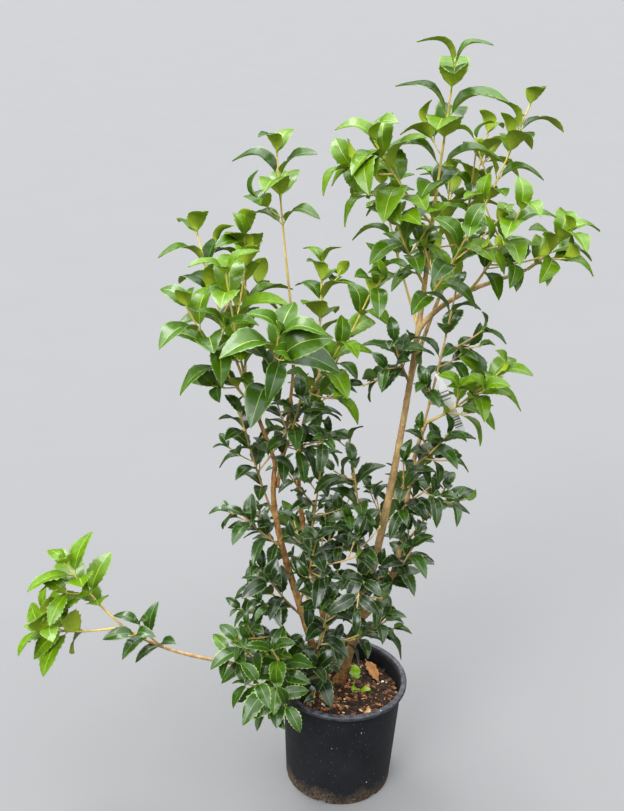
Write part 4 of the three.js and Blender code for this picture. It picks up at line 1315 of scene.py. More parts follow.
class PlantSettings(bpy.types.PropertyGroup):
    pot: group_setting("Pot", "The pot's sizes and colours", PotSettings)
    compost: group_setting("Compost", "The compost", CompostSettings)
    leaves: group_setting("Leaves", "Colours of the leaves", LeafSettings)
    bark: group_setting("Bark", "Colours of bark and stems", BarkSettings)
    stage: group_setting("Stage", "Floor, light and label", StageSettings)


def settings_of(context):
    return context.scene.holly_olive


# The pot

POT_SIDES = 160
DRAIN_SLOTS = 6
SLOT_HALF = (0.012, 0.008, 0.007)
SLOT_FACES = ((0, 1, 3, 2), (4, 6, 7, 5), (0, 4, 5, 1), (2, 3, 7, 6), (0, 2, 6, 4), (1, 5, 7, 3))
SLOT_TURN = 0.2
POT_SHARP = 38


def level_ring(radius, sides):
    """The places round a level circle."""
    return [(radius * math.cos(angle), radius * math.sin(angle)) for angle in round_angles(sides)]


def turned(shape, outline_points, sides, slot):
    """A round closed piece from its outline, given as radius and height, up from the axis and back."""
    rings = outline_points[1:-1]
    points = [(0, 0, outline_points[0][1])]
    for radius, height in rings:
        points += [(x, y, height) for x, y in level_ring(radius, sides)]
    points.append((0, 0, outline_points[-1][1]))
    last, top = len(points) - 1, 1 + (len(rings) - 1) * sides
    faces = [(0, 1 + (j + 1) % sides, 1 + j) for j in range(sides)]
    faces += ring_faces(len(rings), sides, 1)
    faces += [(last, top + j, top + (j + 1) % sides) for j in range(sides)]
    shape.add(points, faces, slot)


def arc(centre, radius, first, last, count):
    """Points of an arc in the plane of radius and height, between two angles in degrees."""
    angles = np.radians(np.linspace(first, last, count))
    return [(centre[0] + radius * math.cos(a), centre[1] + radius * math.sin(a)) for a in angles]


def pot_outline(pot):
    """The pot's profile: flat underside, tapering wall, rolled rim, and the inside down to its floor."""
    wall_top = pot.rim_radius - pot.rim_overhang
    under_rim = pot.height - pot.rim_depth
    foot, lip, floor = 0.003, 0.0034, 0.003
    slope = (wall_top - pot.base_radius) / (under_rim - foot)
    middle = [(pot.base_radius + slope * (height - foot), height) for height in np.linspace(0.02, 0.19, 9)]
    rolled = (arc((pot.rim_radius - lip, under_rim + 0.0016), lip, -75, -5, 5)
              + arc((pot.rim_radius - lip, pot.height - lip), lip, 5, 85, 7))
    inner = wall_top - pot.wall
    inside = [(inner + 0.0016, pot.height - 0.0006), (inner + 0.0003, pot.height - 0.0025)]
    drops = np.linspace(0.008, pot.height - 0.012, 8)
    inside += [(inner - slope * drop, pot.height - drop) for drop in drops]
    inside += [(pot.base_radius - 0.004, floor + 0.002), (pot.base_radius - 0.007, floor)]
    return ([(0, 0), (0.06, 0.0), (pot.base_radius - foot, 0)]
            + arc((pot.base_radius - foot, foot), foot, -70, -10, 4)
            + middle + [(wall_top, under_rim - 0.001), (wall_top + 0.001, under_rim)]
            + rolled + inside + [(0.05, floor), (0, floor)])


def make_pot(settings):
    shape = Shape()
    turned(shape, pot_outline(settings), POT_SIDES, 0)
    piece = shape.piece("nursery_pot", [pot_material(settings)], "pot_plastic", ["pot"], sharp=POT_SHARP)
    slots = Shape()
    middle = Vector((settings.base_radius, 0, 0))
    half = Vector(SLOT_HALF)
    for i in range(DRAIN_SLOTS):
        turn = Matrix.Rotation(2 * math.pi * (i + SLOT_TURN) / DRAIN_SLOTS, 3, "Z")
        corners = [turn @ (Vector((x * half.x, y * half.y, z * half.z)) + middle)
                   for x in (-1, 1) for y in (-1, 1) for z in (-1, 1)]
        slots.add(corners, SLOT_FACES, 0)
    cut_from(piece, slots)


def cut_from(piece, shape):
    """Cuts the bodies of a shape out of a piece."""
    cutter = put_in_scene("cutter", shape.mesh("cutter"))
    boolean = piece.modifiers.new("cut", "BOOLEAN")
    boolean.object = cutter
    boolean.operation = "DIFFERENCE"
    boolean.solver = "EXACT"
    apply_modifiers(piece)
    bpy.data.objects.remove(cutter)
    piece.data.set_sharp_from_angle(angle=math.radians(POT_SHARP))


def apply_modifiers(piece):
    graph = bpy.context.evaluated_depsgraph_get()
    done = bpy.data.meshes.new_from_object(piece.evaluated_get(graph))
    piece.modifiers.clear()
    piece.data = done


# The compost

CHIP_SEED = 11
BED_RINGS = 44
BED_SIDES = 150
BED_CROWDING = 0.8
BED_DEPTHS = (0.02, 0.08, 0.19)
BED_GAP = 0.0045
BED_SUNK = 0.001
SOIL_EDGE_DROP = 0.005
SOIL_EDGE_WIDTH = 0.046
SOIL_FLAT_RADIUS = 0.062

# The lumps of the compost: their height, how many there are to a length, and the layer of noise
SOIL_LUMPS = ((0.0032, 42, 0.3), (0.0016, 150, 1.7))

# The scraps of bark: the chances between their five colours, and their length, breadth and thickness;
# then the crumbs
SCRAP_CHANCES = (0.42, 0.7, 0.92, 0.985)
SCRAP_LENGTH = (0.0020, 0.0088)
SCRAP_BREADTH = (0.35, 0.7)
SCRAP_THICKNESS = (0.0004, 0.0011)
SCRAP_TILT = 34
SCRAP_RISE = 0.0012
SCRAP_MARGIN = 0.002
CRUMB_LENGTH = (0.0006, 0.0019)
CRUMB_CHANCE = 0.82


def bed_radius(pot):
    return pot.rim_radius - pot.rim_overhang - pot.wall - BED_GAP


def bed_height(x, y):
    """The height of the compost's surface: lumpy, and lower towards the wall."""
    far = math.hypot(x, y)
    drop = SOIL_EDGE_DROP * max(0.0, (far - SOIL_FLAT_RADIUS) / SOIL_EDGE_WIDTH)
    lumps = sum(height * noise.noise(Vector((x, y, layer)) * scale) for height, scale, layer in SOIL_LUMPS)
    return SOIL_TOP - drop - BED_SUNK + lumps


def make_bed(settings, pot):
    """The compost itself: a lumpy top over a plain body that fills the pot."""
    radius = bed_radius(pot)
    points = [(0, 0, bed_height(0, 0))]
    for i in range(1, BED_RINGS + 1):
        far = radius * (i / BED_RINGS) ** BED_CROWDING
        points += [(x, y, bed_height(x, y)) for x, y in level_ring(far, BED_SIDES)]
    slope = (pot.rim_radius - pot.rim_overhang - pot.base_radius) / pot.height
    for depth in BED_DEPTHS:
        points += [(x, y, SOIL_TOP - depth) for x, y in level_ring(radius - slope * depth, BED_SIDES)]
    rings = BED_RINGS + len(BED_DEPTHS)
    last = 1 + (rings - 1) * BED_SIDES
    faces = [(0, 1 + j, 1 + (j + 1) % BED_SIDES) for j in range(BED_SIDES)]
    faces += [face[:1] + face[:0:-1] for face in ring_faces(rings, BED_SIDES, 1)]
    faces.append(tuple(last + j for j in range(BED_SIDES))[::-1])
    shape = Shape()
    shape.add(points, faces, 0)
    shape.piece("compost_bed", [earth_material("compost_dark", settings.earth)], "compost", ["compost"])


def scrap(shape, roll, centre, size, tilt, slot):
    """A flat, ragged scrap with eight corners."""
    turn = Matrix.Rotation(2 * math.pi * roll(), 3, "Z") @ Matrix.Rotation(tilt, 3, "X")
    corners = []
    for z in (-1, 1):
        for x, y in ((-1, -1), (1, -1), (1, 1), (-1, 1)):
            long, broad = x * size[0] * lerp(0.55, 1, roll()), y * size[1] * lerp(0.5, 1, roll())
            corners.append(centre + turn @ Vector((long, broad, z * size[2])))
    faces = [(0, 3, 2, 1), (4, 5, 6, 7), (0, 1, 5, 4), (1, 2, 6, 5), (2, 3, 7, 6), (3, 0, 4, 7)]
    shape.add([tuple(corner) for corner in corners], faces, slot)


def make_scraps(settings, pot):
    """Scraps of bark and crumbs of compost, strewn over the bed."""
    roll = dice(CHIP_SEED)
    shape = Shape()
    radius = bed_radius(pot) - SCRAP_MARGIN
    for number in range(settings.chips + settings.crumbs):
        far, angle = radius * math.sqrt(roll()), 2 * math.pi * roll()
        x, y = far * math.cos(angle), far * math.sin(angle)
        pick = roll()
        if number < settings.chips:
            slot = sum(pick > chance for chance in SCRAP_CHANCES)
            long = lerp(*SCRAP_LENGTH, roll() ** 2)
            size = (long, long * lerp(*SCRAP_BREADTH, roll()), lerp(*SCRAP_THICKNESS, roll()))
            tilt = math.radians(swing(SCRAP_TILT, roll))
        else:
            slot = int(pick > CRUMB_CHANCE)
            grain = lerp(*CRUMB_LENGTH, roll() ** 1.5)
            size = (grain, grain * 0.8, grain * 0.7)
            tilt = math.pi * roll()
        centre = Vector((x, y, bed_height(x, y) + SCRAP_RISE * roll()))
        scrap(shape, roll, centre, size, tilt, slot)
    colours = {"scrap_earth": settings.earth, "scrap_brown": settings.chip, "scrap_rust": settings.rust,
               "scrap_tan": settings.tan, "scrap_cream": settings.cream}
    materials = [earth_material(name, colour, 0.85) for name, colour in colours.items()]
    shape.piece("bark_scraps", materials, "compost", sharp=30)


# Bark

BARK_SIDES = 24
BARK_SEED = 31

# What starts beyond this share of a limb goes on from its tip, and has no collar
NEAR_TIP = 0.985

# The relief of bark, as shares of the limb's radius: the swelling, groove and leaf scars of each old
# node with how far along and round they spread, and then cracks and grain
NODE_GAP = 0.062
FIRST_NODE = 0.03
NODE_SWELLING = 0.08
NODE_SPREAD = 0.005
GROOVE = 0.05
GROOVE_AT = 0.0035
GROOVE_SPREAD = 0.0012
SCAR = 0.18
SCAR_SPREAD = 0.0024
SCAR_ROUND = 0.42
SCAR_JITTER = 0.4
CRACKS = 0.055
GRAIN = 0.035

# The collar under a shoot or bough, as shares of that one's own radius
COLLAR = 0.85
COLLAR_ALONG = 1.9
COLLAR_ROUND = 1.25
STEEPEST = 0.02

# The domed tip of a limb, as a share of its radius, and how far up the brown of its foot goes
DOME = 1.2
TAN_FOOT_TOP = 0.38
BROWN_FOOT_TOP = 0.34


def bell(distance, spread):
    """1 at no distance, and less and less beyond a spread."""
    return np.exp(-(distance / spread) ** 2)


def angle_between(angles, heading):
    return np.abs((angles - heading + math.pi) % (2 * math.pi) - math.pi)


def limb_starts(plant, limb, curve):
    """Where shoots and boughs start from a limb: the share of it, the direction, and their radius."""
    starts = [(shoot.at, pointing(*shoot.aim), float(shoot.radius_at(0)))
              for shoot in plant.shoots if shoot.limb == limb.name and shoot.at < NEAR_TIP]
    shares = np.linspace(0, 1, 200)
    for other, path, _ in plant.limbs.values():
        if other.parent == limb.name:
            distances = np.linalg.norm(curve.point(shares) - path.point(0.0), axis=1)
            starts.append((float(shares[distances.argmin()]), path.along(0.12), other.radius[0]))
    return starts


def bark_radii(limb, radius_at, shares, lengths, frames, starts, roll):
    """The radius of a limb at each ring and side, with swollen nodes, leaf scars, shallow cracks and a
    collar under whatever starts from it."""
    forward, aside, across = frames
    angles = round_angles(BARK_SIDES)
    base = radius_at(shares)[:, None] * np.ones(BARK_SIDES)
    relief = np.zeros_like(base)
    where, turn = FIRST_NODE * roll(), 2 * math.pi * roll()
    while where < lengths[-1]:
        along = lengths - where
        relief += NODE_SWELLING * bell(along, NODE_SPREAD)[:, None]
        relief -= GROOVE * bell(along - GROOVE_AT, GROOVE_SPREAD)[:, None]
        for half in (0, math.pi):
            round_it = bell(angle_between(angles - turn, half), SCAR_ROUND)
            relief += SCAR * (round_it[None, :] * bell(along, SCAR_SPREAD)[:, None])
        where += NODE_GAP * lerp(0.6, 1.4, roll())
        turn += math.pi / 2 + swing(SCAR_JITTER, roll)
    # Each limb reads its cracks from another place of the noise, by how thick it is.
    apart = 9 * limb.radius[0] * 1000
    for i, length in enumerate(lengths):
        for j, angle in enumerate(angles):
            spot = Vector((2.1 * math.cos(angle), 2.1 * math.sin(angle), 55 * length + apart))
            crack = abs(noise.noise(spot * 1.4)) - 0.25
            relief[i, j] += CRACKS * crack + GRAIN * noise.noise(spot * 3.1)
    radii = base * (1 + relief)
    for share, aim, thick in starts:
        ring = int(round(share * (len(shares) - 1)))
        radius, ahead = float(radius_at(share)), float(aim @ forward[ring])
        heading = math.atan2(float(aim @ across[ring]), float(aim @ aside[ring]))
        rise = radius * ahead / math.sqrt(max(STEEPEST, 1 - ahead ** 2))
        along = lengths - lengths[ring] - rise
        round_it = angle_between(angles, heading) * radius
        collar = bell(along, COLLAR_ALONG * thick)[:, None] * bell(round_it, COLLAR_ROUND * thick)[None, :]
        radii += COLLAR * thick * collar
    return radii


def make_limb(shape, plant, name, slot, number, step):
    limb, curve, radius_at = plant.limbs[name]
    shares = np.linspace(0, 1, int(curve.length() / step))
    points = curve.point(shares)
    lengths = np.concatenate([[0], np.cumsum(np.linalg.norm(np.diff(points, axis=0), axis=1))])
    starts = limb_starts(plant, limb, curve)
    roll = dice(BARK_SEED + number)
    radii = bark_radii(limb, radius_at, shares, lengths, carried_frames(points), starts, roll)
    # The tip closes in a small dome.
    radii *= np.sqrt(np.clip((lengths[-1] - lengths) / (DOME * limb.radius[1]), 0.02, 1))[:, None]
    tube(shape, points, radii, BARK_SIDES, slot)


def make_bark(plant, settings):
    """The right limbs are tan, and the left ones brown but for the low runner."""
    materials = [
        bark_material("bark_tan", settings.tan, settings.tan_dark, settings.foot, TAN_FOOT_TOP),
        bark_material("bark_brown", settings.rust, settings.rust_dark, settings.foot, BROWN_FOOT_TOP),
    ]
    right = [name for name in plant.limbs if name.startswith("right")]
    left = [name for name in plant.limbs if name not in right]
    for side, names, first_number in (("right", right, 0), ("left", left, 10)):
        shape = Shape()
        for number, name in enumerate(names, first_number):
            pale = name in right or name == "low_runner"
            make_limb(shape, plant, name, 0 if pale else 1, number, settings.step)
        shape.piece(f"bark_of_{side}_limbs", materials, "bark", names, sharp=60)


# Stems, twigs and buds

STEM_SIDES = 8
STEM_STEP = 0.0045
STEM_RIBS = 0.05
FOOT_SPREAD = 0.02
STEM_NODE = 0.24
STEM_NODE_SPREAD = 0.003
FOOT_SWELLING = 1.35
TIP_BUD = 0.006
SIDE_BUD = 0.0028
SIDE_BUD_OUT = 0.0012
SIDE_BUD_LEAN = 0.8
SIDE_BUD_JITTER = 0.3
BUD_SIDES = 6
BUD_BREADTH = 0.32
BUD_POINT = 0.0001


def make_stem(shape, stem, first_radius, slot):
    """A stem with a swelling at each pair of leaves, thicker where it leaves its limb."""
    length = stem.path.length()
    shares = np.linspace(0, 1, max(6, int(length / STEM_STEP)))
    radii = np.array([stem.radius_at(share) for share in shares])
    radii += (first_radius - radii[0]) * np.exp(-shares * length / FOOT_SPREAD)
    for node in stem.nodes:
        radii *= 1 + STEM_NODE * bell((shares - node) * length, STEM_NODE_SPREAD)
    ribbed = radii[:, None] * (1 + STEM_RIBS * np.cos(4 * round_angles(STEM_SIDES) + 20 * shares[:, None]))
    tube(shape, stem.path.point(shares), ribbed, STEM_SIDES, slot)


def make_bud(shape, root, along, length, slot):
    """A pointed bud."""
    shares = np.linspace(0, 1, 6)
    points = root + along * (shares * length)[:, None]
    round_out = np.sin(math.pi * (0.12 + 0.88 * shares)) ** 0.9
    radii = BUD_BREADTH * length * round_out * (1 - 0.45 * shares) + BUD_POINT
    tube(shape, points, radii, BUD_SIDES, slot)


def make_stems(plant, settings):
    young = plain_plant_material("stem_young", settings.young_stem, 0.5, 60.0, 0.25)
    old = plain_plant_material("stem_old", settings.old_stem, 0.7, 60.0, 0.4, 0.0004, 600.0)
    bud = plain_plant_material("bud_green", settings.bud, 0.5)
    shape = Shape()
    for shoot in plant.shoots:
        thickest = float(plant.limbs[shoot.limb][2](shoot.at))
        for stem in shoot.stems:
            first = float(stem.radius_at(0))
            if stem is shoot.stems[0]:
                first = min(thickest, FOOT_SWELLING * first)
            make_stem(shape, stem, first, 0 if shoot.young else 1)
            make_bud(shape, stem.path.point(1.0), stem.path.along(1.0), TIP_BUD, 2)
            for node in stem.nodes:
                along = stem.path.along(node)
                level, across = square_to(along)
                for half in (0, math.pi):
                    away = aside_at(shoot.looks() * SIDE_BUD_JITTER + half, level, across)
                    root = stem.path.point(node) + away * SIDE_BUD_OUT
                    make_bud(shape, root, unit(along + SIDE_BUD_LEAN * away), SIDE_BUD, 2)
    shape.piece("stems_and_buds", [young, old, bud], "bark", sharp=60)


# Leaf pieces

# How strongly the upper sides shine
YOUNG_GLOSS = 0.27
OLD_GLOSS = 0.36

# Where the tip of the one leaf with a dead end is, and the share of it that is still green
DEAD_TIP_SPOT = np.array((0.105, -0.04, 0.43))
DEAD_FROM = 0.6

# The tone of the darkest young and old leaves, and the range from there to the brightest
YOUNG_DARKEST = 0.28
OLD_DARKEST = 0.0
TONE_SPAN = 0.6

# How many teeth a side a leaf has, and a small one, with the length that parts them
TEETH = 8
SMALL_TEETH = 5
SMALL_LEAF = 0.045

leaf_materials_known = {}


def dead_material(settings):
    known = bpy.data.materials.get("leaf_dead")
    return known or plain_plant_material("leaf_dead", settings.dead, 0.7, 110.0, 0.4, 0.0005, 400.0)


def leaf_materials(settings, young):
    """The materials of a leaf piece by slot: three tones, the bright leaves' rib, the underside, dead
    tissue, and the margin."""
    if young in leaf_materials_known:
        return leaf_materials_known[young]
    if young:
        tones = (("leaf_green", settings.green), ("leaf_fresh", settings.fresh), ("leaf_lime", settings.lime))
        edge, soft, under, word = settings.young_edge, settings.soft_edge, settings.young_under_with_painted_glow, "young"
    else:
        tones = (("leaf_deep", settings.deep), ("leaf_dark", settings.dark), ("leaf_grown", settings.green))
        edge, soft, under, word = settings.soft_edge, settings.old_edge, settings.old_under, "old"
    materials = [leaf_material(name, colour, YOUNG_GLOSS if young else OLD_GLOSS) for name, colour in tones]
    materials.append(plain_plant_material(f"leaf_edge_{word}", edge, 0.42, 200.0, 0.15))
    # For young leaves the underside colour also holds painted light shining through the blade.
    materials.append(plain_plant_material(f"leaf_under_{word}", under, 0.6, 120.0, 0.18, 0.0003, 500.0))
    materials.append(dead_material(settings))
    materials.append(plain_plant_material(f"leaf_soft_edge_{word}", soft, 0.42, 200.0, 0.15))
    leaf_materials_known[young] = materials
    return materials


def make_leaves(plant, settings, young):
    """Joins the leaves of one kind into a piece for each side of the plant."""
    materials = leaf_materials(settings, young)
    every_leaf = [leaf for shoot in plant.shoots if not shoot.young for leaf in shoot.leaves]
    dying = min(every_leaf, key=lambda leaf: np.linalg.norm(leaf_spine(leaf, 1.0) - DEAD_TIP_SPOT))
    word, darkest = ("young", YOUNG_DARKEST) if young else ("old", OLD_DARKEST)
    for side in ("right", "left"):
        shoots = [shoot for shoot in plant.shoots
                  if shoot.young == young and shoot.limb.startswith("right") == (side == "right")]
        shape = Shape()
        for leaf in (leaf for shoot in shoots for leaf in shoot.leaves):
            leaf.teeth = TEETH if leaf.length > SMALL_LEAF else SMALL_TEETH
            tone = TONES * ((leaf.tone - darkest) / TONE_SPAN)
            add_leaf_to(shape, leaf, tone, DEAD_FROM if leaf is dying else 1)
        names = [shoot.name for shoot in shoots]
        shape.piece(f"{word}_leaves_{side}", materials, f"{word}_leaves", names, sharp=62)


# The label, the fallen leaf and the sprout

# The label is made in so many rows from its neck down. Those listed show a plain bar, and the rest are
# bare.
LABEL_ROWS = 56
LABEL_BARS = (15, 18, 19, 22, 40, 42, 43, 45, 47, 48, 50)
LABEL_LEAST = 0.0008
BAND_SIDES = 40
BAND_THICKNESS = 0.0005


def label_half(down):
    """Half the label's width at a distance down it: a neck that widens, and a rounded end."""
    neck_end, full_width = 1.5 * LABEL_NECK, 2.5 * LABEL_NECK
    half = LABEL_NECK / 2 if down < neck_end else LABEL_WIDTH / 2
    if neck_end <= down < full_width:
        half = lerp(LABEL_NECK, LABEL_WIDTH, (down / LABEL_NECK - 1.5)) / 2
    ends = LABEL_LENGTH - down
    if ends < LABEL_CORNER:
        half -= LABEL_CORNER - math.sqrt(max(0, LABEL_CORNER**2 - (LABEL_CORNER - ends) ** 2))
    return max(half, LABEL_LEAST)


def make_label(plant, settings):
    """A strip with plain bars that hangs by its neck from a collar round the stem."""
    shoot = next(shoot for shoot in plant.shoots if shoot.name == LABEL_SHOOT)
    centre = shoot.path.point(LABEL_AT)
    shape = Shape()
    collar = level_ring(LABEL_COLLAR - BAND_THICKNESS, BAND_SIDES)
    add_band(shape, [centre + np.array((x, y, 0)) for x, y in collar])
    turn = Matrix.Rotation(-math.radians(LABEL_LEAN), 3, "Y")
    points = []
    for i in range(LABEL_ROWS + 1):
        down = LABEL_LENGTH * i / LABEL_ROWS
        half = label_half(down)
        bow = LABEL_BOW * math.sin(math.pi * down / LABEL_LENGTH)
        for x, y in ((-half, 0), (half, 0), (half, LABEL_THICKNESS), (-half, LABEL_THICKNESS)):
            local = turn @ Vector((x, 0, -down))
            points.append(Vector(centre) + local + Vector((0, y - LABEL_COLLAR - bow, 0)))
    faces = [face[::-1] for face in ring_faces(LABEL_ROWS + 1, 4)]
    slots = [int(i in LABEL_BARS and j == 0) for i in range(LABEL_ROWS) for j in range(4)]
    faces += [(0, 1, 2, 3), tuple(4 * LABEL_ROWS + j for j in (3, 2, 1, 0))]
    shape.add(points, faces, slots + [0, 0])
    materials = [label_material("label_white", settings.label), label_material("label_bars", settings.bars)]
    shape.piece("blank_label", materials, "label", ["label"], sharp=40)


def add_band(shape, ring):
    """A flat band of plastic round a closed line."""
    count = len(ring)
    half, thick = LABEL_NECK / 2, BAND_THICKNESS
    centre = sum(ring) / count
    points = []
    for spot in ring:
        out = unit(spot - centre)
        points += [spot - out * thick - UP * half, spot + out * thick - UP * half,
                   spot + out * thick + UP * half, spot - out * thick + UP * half]
    faces = [(4 * i + j, 4 * ((i + 1) % count) + j, 4 * ((i + 1) % count) + (j + 1) % 4, 4 * i + (j + 1) % 4)
             for i in range(count) for j in range(4)]
    shape.add(points, faces, 0)


# Where the root of the fallen leaf lies, and how high above the compost
FALLEN_PLACE = (0.046, 0.076)
FALLEN_RISE = 0.016


def make_fallen_leaf(settings):
    """The dead leaf, folded along its rib, that lies on the compost."""
    root = np.array((*FALLEN_PLACE, bed_height(*FALLEN_PLACE) + FALLEN_RISE))
    out = unit(np.array((0.42, -0.86, -0.2)))
    up = unit(np.array((0.2, -0.3, 0.9)))
    shape = Shape()
    fallen = Leaf(root, out, up, 0.058, 0, width=0.34, arch=0.03, droop=0.0, fold=40, twist=-30, wave=0.02,
                  curl=0.3, teeth=5)
    add_leaf_to(shape, fallen, 0)
    shape.piece("fallen_leaf", [dead_material(settings)] * (SOFT_EDGE_SLOT + 1), "old_leaves", sharp=62)


# The small new sprout beside the stems: where it stands, the tone and the seed of its leaves, and where
# each of its stems ends above its foot, with the length of the pair of leaves there
SPROUT_PLACE = (0.020, -0.006)
SPROUT_TONE = 2
SPROUT_SEED = 77
SPROUT_RADIUS = 0.0009
SPROUT_STEMS = (((0.004, 0.006, 0.024), 0.034), ((0.013, -0.014, 0.012), 0.027))


def make_sprout(settings):
    """The sprout: a pair of rounder, brighter leaves on each of its short stems."""
    shape = Shape()
    roll = dice(SPROUT_SEED)
    foot = np.array((*SPROUT_PLACE, bed_height(*SPROUT_PLACE) - 0.001))
    for away, length in SPROUT_STEMS:
        path = bowed(foot, foot + np.array(away))
        make_stem(shape, Stem(path, lambda way: SPROUT_RADIUS, [1.0], 1), 0.0011, EDGE_SLOT)
        heading = 360 * roll()
        for half in (0, 180):
            out = unit(path.along(1.0) * 0.7 + pointing(heading + half, 15))
            up = unit(UP - out * (UP @ out))
            leaf = Leaf(path.point(1.0), out, up, length * lerp(0.85, 1.1, roll()), 1, width=0.66, fold=12,
                        teeth=6, spine=0.01, arch=0.1)
            add_leaf_to(shape, leaf, SPROUT_TONE)
    materials = list(leaf_materials(settings, True))
    materials[SPROUT_TONE] = leaf_material("leaf_sprout", settings.sprout, YOUNG_GLOSS)
    shape.piece("basal_sprout", materials, "young_leaves", sharp=62)


# The stage

CAMERA_PLACE = Vector((-0.0784, -1.801, 1.643))
CAMERA_PITCH = 25.2
CAMERA_ROLL = 2.2
CAMERA_LENS = 51.80
SENSOR = 36
FLOOR_REACH = 40

# The floor's light back to the plant, as a share of what its colour would give
FLOOR_BOUNCE = 0.35


def make_camera():
    """The camera at the photograph's place: level but for a pitch down and a small roll."""
    data = bpy.data.cameras.new("photo_view")
    data.lens = CAMERA_LENS
    data.sensor_width = SENSOR
    data.sensor_fit = "AUTO"
    data.clip_end = 200
    camera = put_in_scene("photo_view", data)
    pitch = Matrix.Rotation(math.radians(90 - CAMERA_PITCH), 4, "X")
    roll = Matrix.Rotation(math.radians(CAMERA_ROLL), 4, "Z")
    camera.matrix_world = Matrix.Translation(CAMERA_PLACE) @ pitch @ roll
    bpy.context.scene.camera = camera


def make_floor(settings):
    mesh = bpy.data.meshes.new("floor")
    corners = [(x * FLOOR_REACH, y * FLOOR_REACH, 0) for x, y in ((-1, -1), (1, -1), (1, 1), (-1, 1))]
    mesh.from_pydata(corners, [], [(0, 1, 2, 3)])
    material, tree, shader = new_material("floor_plain", 0.85, 0.2)
    patches = patchy(tree, shade(settings.floor, 0.985), shade(settings.floor, 1.015), 3.0)
    # The camera sees a pale floor, but the plant gets back only as much light as dark ground gives.
    seen = add_node(tree, "ShaderNodeLightPath").outputs["Is Camera Ray"]
    colour = mix_colours(tree, seen, shade(settings.floor, FLOOR_BOUNCE), patches["Color"])
    tree.links.new(colour, shader.inputs["Base Color"])
    mesh.materials.append(material)
    floor = put_in_scene("floor", mesh)


def add_far_light(name, turn, rise, spread, strength):
    """A soft light from far away, by the direction that it comes from."""
    data = bpy.data.lights.new(name, "SUN")
    data.angle = math.radians(spread)
    data.energy = strength
    light = put_in_scene(name, data)
    light.rotation_euler = Vector(-pointing(turn, rise)).to_track_quat("-Z", "Y").to_euler()


def make_light(settings):
    """A soft studio: light that is strongest from above, before a plain pale backdrop."""
    world = bpy.data.worlds.new("studio")
    world.use_nodes = True
    tree = world.node_tree
    where = add_node(tree, "ShaderNodeTexCoord").outputs["Generated"]
    rise = add_node(tree, "ShaderNodeSeparateXYZ", {0: where}).outputs[2]
    glow = remap(tree, rise, 0.3, 0.85, settings.horizon, settings.zenith)
    seen = add_node(tree, "ShaderNodeLightPath").outputs["Is Camera Ray"]
    strength = add_node(tree, "ShaderNodeMix", {0: seen, 2: glow, 3: settings.backdrop}).outputs[0]
    background = tree.nodes["Background"]
    background.inputs["Color"].default_value = (0.95, 0.975, 1.0, 1.0)
    tree.links.new(strength, background.inputs["Strength"])
    bpy.context.scene.world = world
    add_far_light("top_light", 130, 62, 24, settings.top)
    add_far_light("front_light", -125, 36, 30, settings.front)
    view = bpy.context.scene.view_settings
    view.view_transform = "Standard"
    view.look = "None"


# Operators

class PieceOperator:
    """What every operator here shares: it undoes as one step."""

    bl_options = {"REGISTER", "UNDO"}


class HOLLY_OT_stage(PieceOperator, bpy.types.Operator):
    """Sets the camera, the plain floor and the soft light"""

    bl_idname = "holly_olive.make_stage"
    bl_label = "Stage"

    def execute(self, context):
        settings = settings_of(context).stage
        make_camera()
        make_floor(settings)
        make_light(settings)
        return {"FINISHED"}


class HOLLY_OT_pot(PieceOperator, bpy.types.Operator):
    """Makes the nursery pot with its rolled rim and drain slots"""

    bl_idname = "holly_olive.make_pot"
    bl_label = "Pot"

    def execute(self, context):
        make_pot(settings_of(context).pot)
        return {"FINISHED"}


class HOLLY_OT_compost(PieceOperator, bpy.types.Operator):
    """Makes the compost with its scraps of bark and crumbs"""

    bl_idname = "holly_olive.make_compost"
    bl_label = "Compost"

    def execute(self, context):
        settings = settings_of(context)
        make_bed(settings.compost, settings.pot)
        make_scraps(settings.compost, settings.pot)
        return {"FINISHED"}


class HOLLY_OT_bark(PieceOperator, bpy.types.Operator):
    """Makes the trunks and boughs with the relief of their bark"""

    bl_idname = "holly_olive.make_bark"
    bl_label = "Trunks and boughs"

    def execute(self, context):
        make_bark(grown_plant(), settings_of(context).bark)
        return {"FINISHED"}


class HOLLY_OT_stems(PieceOperator, bpy.types.Operator):
    """Makes the stems, twigs and buds of the leafy shoots"""

    bl_idname = "holly_olive.make_stems"
    bl_label = "Stems, twigs and buds"

    def execute(self, context):
        make_stems(grown_plant(), settings_of(context).bark)
        return {"FINISHED"}


class HOLLY_OT_young_leaves(PieceOperator, bpy.types.Operator):
    """Makes the bright leaves of this year's growth"""

    bl_idname = "holly_olive.make_young_leaves"
    bl_label = "Young leaves"

    def execute(self, context):
        make_leaves(grown_plant(), settings_of(context).leaves, True)
        return {"FINISHED"}


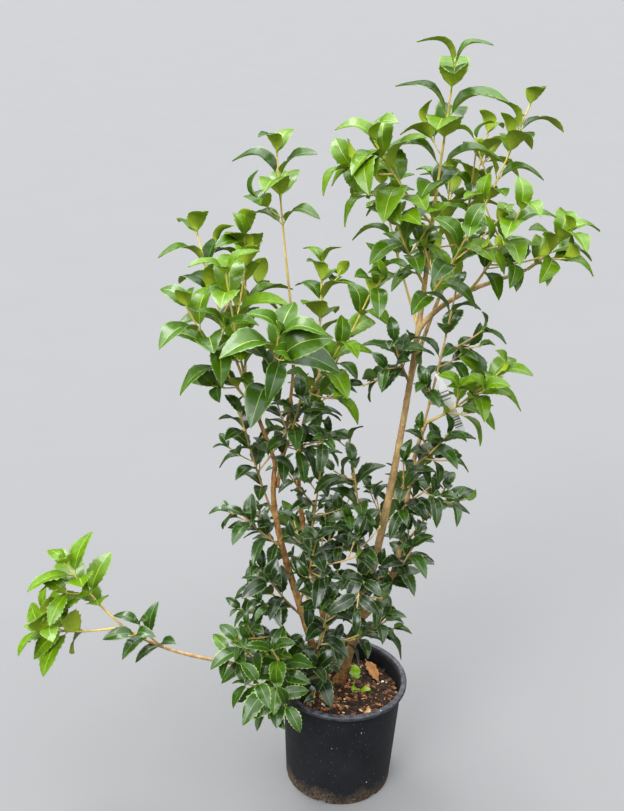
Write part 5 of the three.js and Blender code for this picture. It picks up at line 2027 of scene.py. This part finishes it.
class HOLLY_OT_old_leaves(PieceOperator, bpy.types.Operator):
    """Makes the dark leaves of earlier years"""

    bl_idname = "holly_olive.make_old_leaves"
    bl_label = "Old leaves"

    def execute(self, context):
        make_leaves(grown_plant(), settings_of(context).leaves, False)
        return {"FINISHED"}


class HOLLY_OT_label(PieceOperator, bpy.types.Operator):
    """Makes the label, which has plain bars and no words"""

    bl_idname = "holly_olive.make_label"
    bl_label = "Blank label"

    def execute(self, context):
        make_label(grown_plant(), settings_of(context).stage)
        return {"FINISHED"}


class HOLLY_OT_litter(PieceOperator, bpy.types.Operator):
    """Makes the fallen leaf and the small sprout on the compost"""

    bl_idname = "holly_olive.make_litter"
    bl_label = "Fallen leaf and sprout"

    def execute(self, context):
        make_fallen_leaf(settings_of(context).leaves)
        make_sprout(settings_of(context).leaves)
        return {"FINISHED"}


OPERATORS = (HOLLY_OT_stage, HOLLY_OT_pot, HOLLY_OT_compost, HOLLY_OT_bark, HOLLY_OT_stems,
             HOLLY_OT_young_leaves, HOLLY_OT_old_leaves, HOLLY_OT_label, HOLLY_OT_litter)


class HOLLY_PT_panel(bpy.types.Panel):
    """Lists the pieces of the potted holly olive"""

    bl_label = "Potted holly olive"
    bl_idname = "HOLLY_PT_panel"
    bl_space_type = "VIEW_3D"
    bl_region_type = "UI"
    bl_category = "Holly olive"

    def draw(self, context):
        for operator in OPERATORS:
            self.layout.operator(operator.bl_idname)


CLASSES = (PotSettings, CompostSettings, LeafSettings, BarkSettings, StageSettings, PlantSettings,
           *OPERATORS, HOLLY_PT_panel)


def register():
    for each in CLASSES:
        bpy.utils.register_class(each)
    words = "Sizes and colours of the plant"
    bpy.types.Scene.holly_olive = group_setting("Holly olive", words, PlantSettings)


def unregister():
    del bpy.types.Scene.holly_olive
    for each in reversed(CLASSES):
        bpy.utils.unregister_class(each)


def main():
    register()
    for operator in OPERATORS:
        getattr(bpy.ops.holly_olive, operator.bl_idname.split(".")[1])()


if __name__ == "__main__":
    main()
